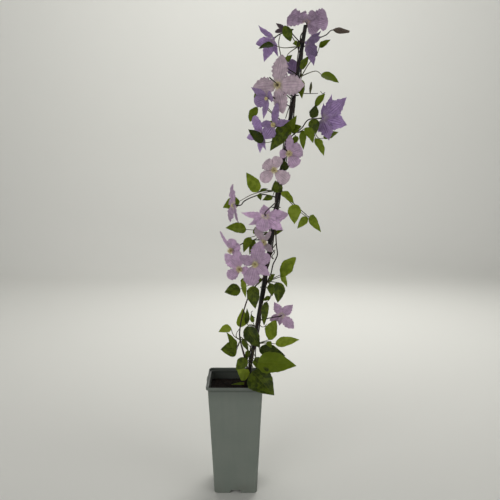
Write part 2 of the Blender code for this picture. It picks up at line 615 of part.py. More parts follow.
def combine(piece, shapes, operation, solver="EXACT"):
    """Join shapes to a piece, or cut them out of it, with one Boolean that is then applied."""
    group = bpy.data.collections.new(piece.name + "_parts")
    bpy.context.scene.collection.children.link(group)
    for shape in shapes:
        solid(piece.name + "_part", shape, collection=group)
    modifier = piece.modifiers.new("combine", "BOOLEAN")
    modifier.operation = operation
    modifier.operand_type = "COLLECTION"
    modifier.collection = group
    modifier.solver = solver
    graph = bpy.context.evaluated_depsgraph_get()
    result = bpy.data.meshes.new_from_object(piece.evaluated_get(graph))
    piece.modifiers.clear()
    piece.data = result
    for part in list(group.objects):
        bpy.data.objects.remove(part, do_unlink=True)
    bpy.data.collections.remove(group)


def keep_largest_body(piece):
    """Fill the hollows that a union sealed and drop its loose scraps."""
    shape = bmesh.new()
    shape.from_mesh(piece.data)
    left = set(shape.verts)
    bodies = []
    while left:
        found = [left.pop()]
        for vertex in found:
            for edge in vertex.link_edges:
                other = edge.other_vert(vertex)
                if other in left:
                    left.discard(other)
                    found.append(other)
        bodies.append(found)
    bodies.sort(key=len)
    for body in bodies[:-1]:
        bmesh.ops.delete(shape, geom=body, context="VERTS")
    shape.to_mesh(piece.data)
    shape.free()


def fused(name, shapes, finish):
    """One object from overlapping shapes."""
    piece = solid(name, shapes[0], finish)
    combine(piece, shapes[1:], "UNION", "MANIFOLD")
    keep_largest_body(piece)


def box(low, high):
    """A box between two corners."""
    (x0, y0, z0), (x1, y1, z1) = low, high
    rings = [[Vector((x0, y0, z)), Vector((x1, y0, z)), Vector((x1, y1, z)), Vector((x0, y1, z))]
             for z in (z0, z1)]
    return loft(rings)


def square_ring(half, corner, height):
    """Points round a square with rounded corners, all at one height."""
    points = []
    for quarter in range(4):
        start = math.radians(90 * quarter)
        diagonal = start + math.radians(45)
        reach = (half - corner) * math.sqrt(2)
        for step in range(CORNER_STEPS + 1):
            angle = start + math.radians(90) * step / CORNER_STEPS
            points.append(Vector((
                reach * math.cos(diagonal) + corner * math.cos(angle),
                reach * math.sin(diagonal) + corner * math.sin(angle), height)))
    return points


def outer_half(height):
    """Half the pot's outer width at a height below the rim."""
    return FOOT_HALF + (BODY_TOP_HALF - FOOT_HALF) * height / (POT_HEIGHT - RIM_DEPTH)


def notch_box(side, out, grow, low, high):
    """A box along one foot notch, from a distance out to the notch's inner end, grown all round."""
    dx, dy = side
    back = FOOT_HALF - NOTCH_DEPTH - grow
    half = NOTCH_WIDTH / 2 + grow
    xs = sorted((dx * out, dx * back)) if dx else (-half, half)
    ys = sorted((dy * out, dy * back)) if dy else (-half, half)
    return box((xs[0], ys[0], low), (xs[1], ys[1], high))


def build_pot():
    """The pot: tapered wall, turned out rim, a lug, and a floor that rises over four foot notches."""
    rim_foot = POT_HEIGHT - RIM_DEPTH
    outside = (
        (outer_half(0) - FOOT_BEVEL, 0.0), (outer_half(FOOT_BEVEL), FOOT_BEVEL),
        (outer_half(rim_foot), rim_foot), (RIM_HALF, rim_foot + WALL / 2), (RIM_HALF, POT_HEIGHT))
    inside = (
        (RIM_HALF - WALL, POT_HEIGHT), (RIM_HALF - WALL, rim_foot + 1.5 * WALL),
        (outer_half(rim_foot) - WALL, rim_foot + WALL), (outer_half(FLOOR) - WALL, FLOOR))
    rings = [square_ring(half, CORNER, height) for half, height in outside]
    rings += [square_ring(half, CORNER - WALL, height) for half, height in inside]
    pot = solid("pot", loft(rings), material("pot_plastic", (0.122, 0.141, 0.122), 0.55))
    depth, width, height = LUG_SIZE
    back = -RIM_HALF - depth + LUG_ROOT
    raised = [box((back, -width / 2, LUG_TOP - height), (back + depth, width / 2, LUG_TOP))]
    raised += [notch_box(side, FOOT_HALF - WALL / 2, WALL, FLOOR / 2, NOTCH_HEIGHT + WALL)
               for side in POT_SIDES]
    combine(pot, raised, "UNION")
    cuts = [notch_box(side, FOOT_HALF + CORNER, 0.0, -FLOOR, NOTCH_HEIGHT) for side in POT_SIDES]
    for dx, dy in POT_SIDES:
        middle = FOOT_HALF - NOTCH_DEPTH / 2
        low = Vector((dx * middle, dy * middle, NOTCH_HEIGHT / 2))
        high = low + Vector((0, 0, NOTCH_HEIGHT))
        cuts.append(tube([low, high], (DRAIN_RADIUS, DRAIN_RADIUS), DRAIN_SIDES))
    combine(pot, cuts, "DIFFERENCE")


def soil_roughness(point):
    """How far the soil's top stands above or below its level at a place."""
    ripple = math.sin(190 * point.x + 1) * math.cos(170 * point.y)
    return SOIL_ROUGHNESS * (ripple + math.sin(260 * point.x + 420 * point.y))


def build_soil():
    """The soil that fills the pot, its top uneven, with plain holes for what stands in it."""
    inset = WALL + GAP
    foot = FLOOR + GAP
    rings = [square_ring(outer_half(foot) - inset, CORNER - inset, foot)]
    for share in SOIL_RINGS:
        ring = square_ring((outer_half(SOIL_TOP) - inset) * share, (CORNER - inset) * share, SOIL_TOP)
        for point in ring:
            point.z += soil_roughness(point) if share < 1 else -SOIL_EDGE_DROP
        rings.append(ring)
    rings.append([Vector((0.0, 0.0, SOIL_TOP))])
    soil = solid("soil", loft(rings), material("soil_dark", (0.016, 0.011, 0.008), 0.95))
    radius = CANE_RADIUS + GAP
    hole = [cane_centre(CANE_FOOT - GAP), cane_centre(HOLE_TOP)]
    cuts = [tube(hole, (radius, radius), CANE_SIDES)]
    for path in STEM_PATHS.values():
        hole = [point for point in path if point.z < HOLE_TOP + STEM_STEP]
        hole[0] = hole[0] - (hole[1] - hole[0]).normalized() * GAP
        radius = STEM_RADIUS + GAP
        cuts.append(tube(hole, (radius, radius), STEM_SIDES))
    cuts += [notch_box(side, FOOT_HALF, inset, 0.0, NOTCH_HEIGHT + inset) for side in POT_SIDES]
    combine(soil, cuts, "DIFFERENCE")


def build_cane():
    """The cane, slightly swollen at its knots."""
    heights = [CANE_FOOT, CANE_TOP]
    for knot in CANE_KNOTS:
        heights += [knot - CANE_KNOT_HALF, knot, knot + CANE_KNOT_HALF]
    heights.sort()
    radii = [CANE_RADIUS + (CANE_KNOT_SWELL if z in CANE_KNOTS else 0.0) for z in heights]
    shape = tube([cane_centre(z) for z in heights], radii, CANE_SIDES)
    solid("cane", shape, material("cane_dark", (0.012, 0.010, 0.009), 0.6))


def wire_ring(centre, radius):
    """A level ring of wire, closed on itself."""
    upward = Vector((0.0, 0.0, 1.0))
    vertices = []
    for out in ring_points(Vector(), Vector((1.0, 0.0, 0.0)), Vector((0.0, 1.0, 0.0)), 1.0, TIE_STEPS):
        vertices += ring_points(centre + out * radius, out, upward, TIE_WIRE, TIE_SIDES)
    faces = []
    for i in range(TIE_STEPS):
        for j in range(TIE_SIDES):
            here, there = i * TIE_SIDES, (i + 1) % TIE_STEPS * TIE_SIDES
            following = (j + 1) % TIE_SIDES
            faces.append((here + j, there + j, there + following, here + following))
    return vertices, faces


def build_ties():
    """A wire ring round the cane and the stems at each tie, with its twisted end."""
    finish = material("tie_wire", (0.010, 0.010, 0.010), 0.5)
    for name, (height, shift, radius) in TIES.items():
        centre = cane_centre(height) + Vector((shift, 0.0, 0.0))
        start = centre + Vector((0.0, -radius, 0.0))
        twist = tube([start, start + TIE_TWIST], TIE_TWIST_RADII, TIE_SIDES)
        fused(name, [wire_ring(centre, radius), twist], finish)


def stalk_shape(flower):
    """The stalk that carries a flower and the stem that it grows from."""
    front = facing_frame(*flower["facing"])[0]
    end = Vector(flower["at"]) - front * (HUB_BACK + GAP)
    run_out = end - front * STALK_RUN_OUT
    root, *on_the_way = flower["stalk"]
    stem = flower.get("stem")
    if not stem:
        stem = nearest_stem(root, Vector(on_the_way[0]) if on_the_way else run_out)
        root = stem_point(stem, root)
    points = smooth_path([root, *on_the_way, run_out, end], STALK_STEP)
    return tube(points, (STALK_RADIUS, STALK_RADIUS), STALK_SIDES), stem


def build_stems():
    """The three stems, each with the flower stalks, shoots and buds that grow from it."""
    shapes = {}
    for stem, path in STEM_PATHS.items():
        shapes[stem] = [tube(path, (STEM_RADIUS, STEM_TIP_RADIUS), STEM_SIDES)]
    for name, flower in FLOWERS.items():
        shape, stem = stalk_shape(flower)
        shapes[stem].append(shape)
    for stem, points, radii in SHOOTS:
        shapes[stem].append(tube(smooth_path(points, STALK_STEP), radii, STALK_SIDES))
    for stem, points, radii in BUDS:
        shapes[stem].append(tube([Vector(point) for point in points], radii, BUD_SIDES))
    finish = material("stem_brown", (0.040, 0.020, 0.016), 0.6)
    for stem, parts in shapes.items():
        fused(stem, parts, finish)


def build_flowers():
    """Each flower's sepals as one piece, and its tuft of stamens as another."""
    lilac = material("sepal_lilac", (0.330, 0.240, 0.420), 0.6)
    olive = material("stamen_olive", (0.330, 0.300, 0.070), 0.7)
    for name, flower in FLOWERS.items():
        centre = Vector(flower["at"])
        frame = facing_frame(*flower["facing"])
        shapes = [hub(centre, frame[0])]
        shapes += [sepal(centre, frame, row, k) for k, row in enumerate(flower["sepals"])]
        fused(name + "_sepals", shapes, lilac)
        if name not in HALF_OPEN:
            solid(name + "_stamens", stamen_boss(centre, frame[0], flower["sepals"]), olive)


def build_leaves():
    """Each spray of leaves, its leaf stalks joined at the node where they leave the stem."""
    green = material("leaf_green", (0.075, 0.150, 0.014), 0.5)
    for name, (root, leaves) in SPRAYS.items():
        if isinstance(root, float):
            target = sum((Vector(row[0]) for row in leaves), Vector()) / len(leaves)
            stem = nearest_stem(root, target)
            at = stem_point(stem, root)
            away = target - at
            away.z = 0.0
            root = at + away.normalized() * (stem_radius(stem, root) + GAP + NODE_SWELL)
        root = Vector(root)
        shapes = [bulb(root, NODE_SWELL)]
        for order, (base, tip, width, on_the_way) in enumerate(leaves):
            shape, joint = leaf(base, tip, width, order)
            path = smooth_path([root, *on_the_way, joint], STALK_STEP)
            shapes.append(shape)
            shapes.append(tube(path, PETIOLE_RADII, PETIOLE_SIDES))
        fused(name, shapes, green)


def main():
    for leftover in list(bpy.data.objects):
        bpy.data.objects.remove(leftover, do_unlink=True)
    build_pot()
    build_soil()
    build_cane()
    build_ties()
    build_stems()
    build_flowers()
    build_leaves()


main()
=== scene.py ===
"""The looks of a flowering clematis in a tall square nursery pot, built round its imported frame.

Metres, +Z up. The origin is the middle of the pot's underside, and the viewer stands on the
-Y side. Places and sizes start from the named values that the solids are made from. The blooms,
some leaves, the cane and the stalks are fitted closer to the photograph, so they differ from the
solids by some millimetres. Each fine piece stands for the node that it replaces.
"""

import json
import math
import random

import bpy
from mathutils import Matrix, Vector, noise

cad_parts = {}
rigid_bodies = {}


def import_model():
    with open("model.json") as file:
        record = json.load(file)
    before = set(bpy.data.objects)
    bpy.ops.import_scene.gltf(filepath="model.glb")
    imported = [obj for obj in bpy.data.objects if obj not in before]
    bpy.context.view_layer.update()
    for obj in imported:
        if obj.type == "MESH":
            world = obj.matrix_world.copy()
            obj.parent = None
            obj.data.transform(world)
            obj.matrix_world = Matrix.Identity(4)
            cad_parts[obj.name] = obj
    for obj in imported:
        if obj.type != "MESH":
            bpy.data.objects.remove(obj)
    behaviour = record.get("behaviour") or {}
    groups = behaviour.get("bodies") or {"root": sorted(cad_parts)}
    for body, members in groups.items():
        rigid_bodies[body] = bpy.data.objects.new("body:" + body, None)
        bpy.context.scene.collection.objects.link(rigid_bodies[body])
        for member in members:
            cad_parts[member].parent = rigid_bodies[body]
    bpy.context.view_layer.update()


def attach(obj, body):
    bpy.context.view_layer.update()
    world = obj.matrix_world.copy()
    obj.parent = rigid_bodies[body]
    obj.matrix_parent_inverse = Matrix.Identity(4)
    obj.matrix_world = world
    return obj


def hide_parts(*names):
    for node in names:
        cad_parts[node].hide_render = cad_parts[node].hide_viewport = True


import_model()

# Directions: to the right, back, up, and from the object to the viewer
EAST = Vector((1.0, 0.0, 0.0))
NORTH = Vector((0.0, 1.0, 0.0))
UP = Vector((0.0, 0.0, 1.0))
VIEWER = Vector((0.0, -1.0, 0.0))

# Clearance that touching pieces keep
GAP = 0.0003

# Edges sharper than these angles, in degrees, stay sharp
USUAL_SHARP = 50.0
POT_SHARP = 35.0
SOIL_SHARP = 80.0

# Pot
POT_HEIGHT = 0.220
RIM_HALF = 0.055
RIM_DEPTH = 0.0065
BODY_TOP_HALF = 0.0518
FOOT_HALF = 0.0418
WALL = 0.0014
FLOOR = 0.0018
CORNER = 0.008
FOOT_BEVEL = 0.0008
NOTCH_WIDTH = 0.020
NOTCH_HEIGHT = 0.006
NOTCH_DEPTH = 0.016
DRAIN_RADIUS = 0.0035
POT_SIDES = ((1, 0), (0, 1), (-1, 0), (0, -1))
LUG_SIZE = (0.0016, 0.013, 0.010)
LUG_ROOT = 0.0004
LUG_TOP = 0.2195
CORNER_STEPS = 8
SIDE_STEPS = 16
WALL_LEVELS = 34
ARC_STEPS = 4
DRAIN_SIDES = 24
LIP_RADIUS = 0.0006

# A shallow moulded panel in each side of the pot, and the seam above it
PANEL_DEPTH = 0.00022
PANEL_TOP = 0.175
PANEL_DIP = 0.018
PANEL_EDGE = 0.0012
SEAM_HEIGHT = 0.00016
SEAM_WIDTH = 0.0010

# Soil
SOIL_TOP = 0.200
SOIL_ROUGHNESS = 0.0018
SOIL_EDGE_DROP = 0.002
SOIL_RINGS = 22
SOIL_RIPPLE = 0.8
SOIL_GRAIN = 0.0009
SOIL_GRAIN_PACES = (420, 1100)
CRUMB_SIZE = 0.0013
CRUMB_DENSITY = 130000.0
CRUMB_LOW = (0.35, 0.35, 0.30)
CRUMB_HIGH = (1.25, 0.95, 0.75)

# Waves of the soil's top, in radians to the metre: two that cross, and a slanting one
SOIL_WAVES = (190, 170)
SOIL_SLANTING_WAVE = (260, 420)

# Cane
CANE_FOOT = 0.010
CANE_TOP = 0.879
CANE_X_AT_SOIL = 0.022
CANE_LEAN = 0.155
CANE_RADIUS = 0.0035
CANE_KNOTS = (0.275, 0.430, 0.585, 0.735)
CANE_KNOT_SWELL = 0.0004
CANE_KNOT_HALF = 0.006
CANE_GROOVE_DEPTH = 0.00025
CANE_GROOVE_WIDTH = 0.0010
CANE_WEAR = 0.00010
CANE_WEAR_PACE = 60
CANE_END_SHARE = 0.80
CANE_END_LENGTH = 0.002
CANE_STEP = 0.0015

# Climbing stems
STEM_FOOT = 0.180
STEM_RADIUS = 0.0014
STEM_TIP_RADIUS = 0.0008
STEM_STEP = 0.019
STEM_STANDOFF = 0.0051
TIE_PINCH = 0.0003
TIE_PINCH_LENGTH = 0.030
TURN_LENGTH = 0.240
PHASE_HEIGHT = 0.420
STEM_PHASE = {"stem_left": 270.0, "stem_back": 390.0, "stem_right": 510.0}
STEM_TOP = {"stem_left": 0.856, "stem_back": 0.832, "stem_right": 0.862}
FINE_STEP = 0.003
STEM_NODE_SWELL = 0.00045
NODE_SPAN = 0.004

# The knob that a spray's leaf stalks grow from
NODE_SWELL = 0.0015
NODE_STEPS = 10
NODE_END_SHARE = 0.03

# Where a stem swings clear of the cane: height, then how far it stands off the cane's axis
LOOPS = {
    "stem_left": (
        (0.180, 0.0045, -0.0075), (0.215, 0.0025, -0.0105), (0.237, -0.0030, -0.0130),
        (0.261, -0.0130, -0.0120), (0.290, -0.0250, -0.0100), (0.310, -0.0310, -0.0080),
        (0.332, -0.0320, -0.0060), (0.355, -0.0300, -0.0050), (0.380, -0.0260, -0.0060),
        (0.397, -0.0200, -0.0080), (0.409, -0.0120, -0.0095), (0.420, -0.0030, -0.0095)),
    "stem_back": (),
    "stem_right": (
        (0.385, 0.0030, 0.0085), (0.400, 0.0050, 0.0095), (0.412, 0.0080, 0.0105),
        (0.425, 0.0115, 0.0090), (0.443, 0.0120, 0.0040), (0.456, 0.0160, 0.0020),
        (0.465, 0.0170, 0.0010), (0.481, 0.0125, 0.0000), (0.494, 0.0095, -0.0010),
        (0.510, 0.0065, -0.0045)),
}
LOOP_MARGIN = 0.018

# Ties round the cane and what climbs it: height, shift of the ring to the right, ring radius
TIES = {
    "tie_lower": (0.400, 0.0012, 0.0068),
    "tie_middle": (0.553, 0.0, 0.0084),
    "tie_upper": (0.757, 0.0, 0.0084),
}
TIE_WIRE = 0.0006
TIE_GIRTH = 0.6
TIE_STEPS = 48
TIE_TWIST = Vector((0.002, -0.005, 0.002))
TIE_TWIST_TURNS = 2.5
TIE_TWIST_REACH = 0.7

# Flower stalks, which swell a little at the foot and more under the flower
STALK_RADIUS = 0.00122
STALK_THIN = 0.86
STALK_FOOT_SWELL = 0.25
STALK_FOOT_SPAN = 0.10
STALK_END_SWELL = 0.30
STALK_END_SPAN = 0.06
STALK_STEP = 0.022
STALK_RUN_OUT = 0.010

# The hub that joins a flower's sepals, from its back to its front
HUB_BACK = 0.0025
HUB_FRONT = 0.0014
HUB_RADII = (0.0010, 0.0017, 0.0026, 0.0032, 0.0031, 0.0029)
HUB_SIDES = 16

# Sepals
BLADE_THICKNESS = 0.0007
SEPAL_ROOT = 0.0012
SHORT_SEPAL = 0.034
SEPAL_WIDEN = 1.05
SEPAL_LAYER = 0.0007
SEPAL_ARCH = 0.05
SEPAL_EDGE = -0.16
SEPAL_WAVE = 0.12
SEPAL_WAVE_SPANS = (0.22, 0.54)
SHORT_SEPAL_WAVE_SPANS = (0.32, 0.76)
SEPAL_THICKNESS = 0.00045
SEPAL_ROWS = 34
SEPAL_COLUMNS = 19

# Stamens, which stand in a spiral, each so many degrees further on, and the eye of their tuft
STAMEN_FOOT = 0.0015
STAMEN_FOOT_REACH = 0.0019
SPIRAL_TURN = 137.508
FILAMENT_RADIUS = 0.00030
ANTHER_SIZE = (0.00048, 0.00048, 0.00120)
EYE_PLACE = (0.0, 0.0, 0.0016)
EYE_SIZE = (0.0018, 0.0018, 0.0040)

# Finer form of a sepal: its scalloped and ruffled margin, ribs, crinkles, and a tip that curls back
SEPAL_SCALLOPS = ((0.075, 1.4), (0.045, 3.7))
SEPAL_RUFFLE = 0.11
SEPAL_RIB_DEPTH = 0.00022
SEPAL_RIB_WIDTHS = (0.07, 0.06)
SEPAL_SIDE_RIB = 0.8
SEPAL_CRINKLE = 0.00025
SEPAL_CRINKLE_PACE = 260
SEPAL_CURL = 0.10
SEPAL_CURL_START = 0.72
SEPAL_CURL_SPAN = 0.28

# How far out from a blade's middle its side ribs run, as a share of its half width
SIDE_RIB_AT = 0.30

# Leaves
SHORT_LEAF = 0.032
LEAF_OUTLINE = (0.66, 0.95)
OVAL_OUTLINE = (0.92, 0.80)
LEAF_WIDEN = 1.20
LEAF_FACE = Vector((0.05, -0.75, 0.60))
LEAF_FACE_SPREAD = 0.30
LEAF_ARCH = 0.07
LEAF_EDGE = 0.14
LEAF_WAVE = 0.08
LEAF_WAVE_SPANS = (0.13, 0.60)
SHORT_LEAF_WAVE_SPANS = (0.20, 0.80)
LEAF_THICKNESS = 0.00045
LEAF_ROWS = 26
LEAF_COLUMNS = 17
LEAF_STALK_RADII = (0.0011, 0.00075, 0.0006)

# Finer form of a leaf: its uneven margin, and its skin sunk along the ribs and raised between veins
LEAF_SCALLOPS = ((0.035, 2.6), (0.022, 7.3))
LEAF_RUFFLE = 0.06
LEAF_RUFFLE_PACE = 2.2
LEAF_QUILT = 0.012
LEAF_GROOVE_DEPTH = 0.00022
LEAF_GROOVE_WIDTHS = (0.06, 0.05)
LEAF_SIDE_GROOVE = 0.6
SIDE_VEIN_PACE = 50.0
SIDE_VEIN_SLANT = 0.30

# Each flower: its middle; the way it faces (degrees round from the viewer, degrees up); its
# stalk (the height where it leaves a stem, or a point, then points on the way); and its
# sepals (degrees clockwise from its top, length, width, degrees forward, kind of outline)
FLOWERS = {
    "flower_01": dict(
        at=(0.1286, -0.004, 0.8842), facing=(180, 65), stalk=(0.850, (0.119, -0.0085, 0.861)),
        sepals=((100, 0.0355, 0.019, 12, "wedge"), (66, 0.033, 0.019, 12, "wedge"),
                (30, 0.0235, 0.016, 12, "wedge"), (291, 0.037, 0.018, 14, "wedge"),
                (325, 0.026, 0.016, 12, "wedge"), (249, 0.042, 0.022, 6, "wedge"),
                (216, 0.0325, 0.019, -5, "wedge"))),
    "flower_02": dict(
        at=(0.071, 0.015, 0.859), facing=(-110, -30),
        stalk=((0.100, 0.0190, 0.873), (0.090, 0.014, 0.869)), stem="stem_left",
        sepals=((352, 0.041, 0.012, 22, "pointed"), (82, 0.036, 0.017, 55, "usual"),
                (163, 0.0465, 0.019, 50, "pointed"), (200, 0.0335, 0.010, 18, "pointed"))),
    "flower_03": dict(
        at=(0.094, 0.022, 0.876), facing=(-90, 0),
        stalk=(0.849, (0.106, 0.012, 0.865), (0.102, 0.018, 0.872)),
        sepals=((327, 0.0255, 0.008, 52, "pointed"), (68, 0.0155, 0.007, 60, "strap"),
                (121, 0.0255, 0.008, 60, "strap"))),
    "flower_04": dict(
        at=(0.127, -0.016, 0.846), facing=(95, -12), stalk=(0.825, (0.113, -0.014, 0.838)),
        sepals=((324, 0.035, 0.0105, 38, "pointed"), (225, 0.039, 0.017, 34, "pointed"),
                (197, 0.046, 0.016, 30, "pointed"), (290, 0.036, 0.014, 34, "pointed"),
                (100, 0.0305, 0.012, 34, "pointed"))),
    "flower_05": dict(
        at=(0.076, -0.038, 0.77), facing=(-5, 5), stalk=(0.746,),
        sepals=((9, 0.054, 0.0265, 4, "usual"), (89, 0.0475, 0.034, 4, "usual"),
                (168, 0.0495, 0.0235, 0, "usual"), (265, 0.0435, 0.030, 4, "usual"))),
    "flower_06": dict(
        at=(0.0585, -0.058, 0.7475), facing=(-25, -15), stalk=(0.735,),
        sepals=((309, 0.0345, 0.012, 18, "pointed"), (253, 0.0245, 0.021, 26, "blunt"),
                (192, 0.0375, 0.0105, 18, "pointed"), (72, 0.0185, 0.018, 40, "blunt"))),
    "flower_07": dict(
        at=(0.07, -0.038, 0.702), facing=(-15, 0), stalk=(0.690,),
        sepals=((14, 0.041, 0.0125, 22, "strap"), (76, 0.031, 0.012, 10, "pointed"),
                (213, 0.029, 0.024, 10, "usual"), (275, 0.0235, 0.014, 8, "usual"))),
    "flower_08": dict(
        at=(0.05, -0.012, 0.688), facing=(-60, -10), stalk=(0.680,),
        sepals=((359, 0.0355, 0.016, 20, "blunt"), (262, 0.036, 0.014, 25, "usual"),
                (191, 0.036, 0.012, 12, "pointed"), (145, 0.0355, 0.009, 14, "pointed"),
                (311, 0.0235, 0.014, 10, "usual"))),
    "flower_09": dict(
        at=(0.098, -0.03, 0.652), facing=(-5, 0), stalk=(0.645,),
        sepals=((3, 0.034, 0.014, 6, "usual"), (68, 0.025, 0.026, 6, "fan"),
                (148, 0.0265, 0.023, 6, "fan"), (268, 0.017, 0.015, 6, "fan"))),
    "flower_10": dict(
        at=(0.071, -0.034, 0.623), facing=(0, 0), stalk=(0.615,),
        sepals=((20, 0.0255, 0.019, 4, "fan"), (311, 0.0225, 0.022, 4, "fan"),
                (230, 0.0305, 0.021, 4, "blunt"), (128, 0.033, 0.024, 4, "fan"))),
    "flower_11": dict(
        at=(0.161, 0.005, 0.7165), facing=(130, 5),
        stalk=(0.680, (0.109, -0.006, 0.688), (0.123, -0.004, 0.699), (0.134, -0.003, 0.713)),
        sepals=((2, 0.028, 0.009, 15, "pointed"), (340, 0.046, 0.012, 15, "pointed"),
                (310, 0.0585, 0.028, 25, "pointed"), (250, 0.049, 0.030, 25, "pointed"),
                (189, 0.0425, 0.028, 15, "pointed"), (145, 0.031, 0.012, 12, "usual"))),
    "flower_12": dict(
        at=(-0.002, 0, 0.557), facing=(-78, 0),
        stalk=(0.572, (0.052, 0.003, 0.577), (0.035, 0.002, 0.573), (0.018, 0.002, 0.565)),
        sepals=((343, 0.041, 0.016, 5, "strap"), (218, 0.045, 0.017, 6, "strap"),
                (149, 0.038, 0.009, -6, "pointed"), (281, 0.038, 0.012, 4, "usual"),
                (93, 0.0245, 0.010, 4, "usual"))),
    "flower_13": dict(
        at=(0.056, -0.034, 0.5395), facing=(178, -40), stalk=(0.562, (0.071, -0.030, 0.561)),
        sepals=((78, 0.046, 0.0135, 5, "pointed"), (6, 0.029, 0.019, 5, "pointed"),
                (278, 0.042, 0.023, 5, "usual"), (229, 0.0435, 0.021, 5, "pointed"),
                (170, 0.0335, 0.025, 5, "blunt"), (119, 0.035, 0.012, 5, "pointed"))),
    "flower_14": dict(
        at=(0.053, -0.014, 0.489), facing=(0, 0), stalk=(0.480,),
        sepals=((334, 0.0315, 0.015, 4, "blunt"), (33, 0.0255, 0.009, 4, "strap"),
                (222, 0.0295, 0.018, 4, "usual"), (138, 0.0245, 0.012, 4, "usual"))),
    "flower_15": dict(
        at=(0.037, -0.05, 0.454), facing=(0, 0), stalk=(0.445,),
        sepals=((13, 0.045, 0.025, 8, "usual"), (297, 0.0315, 0.019, 4, "usual"),
                (194, 0.041, 0.028, 4, "blunt"), (127, 0.0355, 0.018, 4, "pointed"),
                (60, 0.0315, 0.020, 4, "blunt"))),
    "flower_16": dict(
        at=(0.009, -0.034, 0.442), facing=(-8, 0), stalk=(0.430,),
        sepals=((315, 0.0395, 0.022, 4, "usual"), (234, 0.028, 0.020, 4, "blunt"),
                (352, 0.0345, 0.018, 4, "blunt"), (104, 0.020, 0.016, 4, "usual"))),
    "flower_17": dict(
        at=(-0.007, -0.012, 0.473), facing=(-20, 5),
        stalk=(0.490, (0.034, 0.009, 0.490), (0.014, 0.005, 0.484)),
        sepals=((327, 0.043, 0.006, 6, "strap"), (7, 0.023, 0.020, 6, "blunt"),
                (56, 0.0205, 0.016, 6, "blunt"), (111, 0.0155, 0.012, 6, "usual"))),
    "flower_18": dict(
        at=(0.088, -0.006, 0.346), facing=(170, -10), stalk=(0.335, (0.070, -0.013, 0.344)),
        sepals=((30, 0.030, 0.016, 6, "pointed"), (315, 0.031, 0.018, 6, "pointed"),
                (226, 0.034, 0.019, 6, "usual"), (115, 0.025, 0.014, 6, "usual"),
                (170, 0.020, 0.011, 6, "pointed"))),
    "flower_19": dict(
        at=(0.1086, 0.025, 0.795), facing=(-10, 80), stalk=(0.775,),
        sepals=((300, 0.030, 0.017, 60, "pointed"), (185, 0.034, 0.019, 64, "usual"),
                (70, 0.030, 0.016, 54, "pointed"))),
}
HALF_OPEN = ("flower_03", "flower_19")
DARK_EYES = ("flower_05", "flower_06", "flower_14", "flower_15")

# Past this tilt, in degrees, a flower's own up is taken from the way that it leans
STEEP_TILT = 75

# A blade that points at the viewer more nearly than this isn't turned
END_ON = 0.2

# Sepal outlines: where they are widest, how full they are below it, and how blunt above it
OUTLINES = {
    "usual": (0.50, 0.75, 0.80), "pointed": (0.42, 0.75, 1.25), "blunt": (0.62, 0.72, 0.48),
    "strap": (0.40, 0.50, 0.50), "fan": (0.72, 0.75, 0.38), "wedge": (0.84, 0.85, 0.30),
}

# Bare shoots that grow from a stem: the stem, points along the shoot, its radius at foot and tip
SHOOTS = (
    ("stem_left",
     ((0.099, 0.007, 0.795), (0.088, 0.011, 0.812), (0.084, 0.013, 0.830), (0.080, 0.013, 0.850),
      (0.083, 0.013, 0.866)),
     (0.0010, 0.0007)),
    ("stem_right",
     ((0.1124, -0.0051, 0.762), (0.124, -0.0065, 0.760), (0.138, -0.006, 0.7595),
      (0.151, -0.004, 0.760)),
     (0.0009, 0.0005)),
    ("stem_right",
     ((0.1255, 0.0077, 0.842), (0.140, 0.011, 0.853), (0.156, 0.009, 0.8600),
      (0.1663, 0.010, 0.8645), (0.173, 0.008, 0.8710), (0.178, 0.006, 0.872)),
     (0.0010, 0.0009)),
)

# Buds at the ends of shoots: points along the bud, its radius at each point
BUDS = {
    "bud_small": (((0.137, -0.006, 0.7595), (0.137, -0.006, 0.764), (0.1375, -0.006, 0.768),
                   (0.138, -0.006, 0.773), (0.1385, -0.006, 0.780)),
                  (0.0008, 0.0016, 0.0024, 0.0018, 0.0005)),
    "bud_large": (((0.1775, 0.006, 0.872), (0.180, 0.006, 0.872), (0.184, 0.006, 0.8715),
                   (0.189, 0.006, 0.871), (0.196, 0.006, 0.870), (0.207, 0.006, 0.869)),
                  (0.0010, 0.0042, 0.0052, 0.0042, 0.0030, 0.0018)),
}
BUD_STEP = 0.0012

# Fine hairs on buds and young stalks
HAIR_LENGTH = 0.0007
HAIR_RADIUS = 0.00004
BUD_HAIRS = 1600000.0
STALK_HAIRS = 350000.0

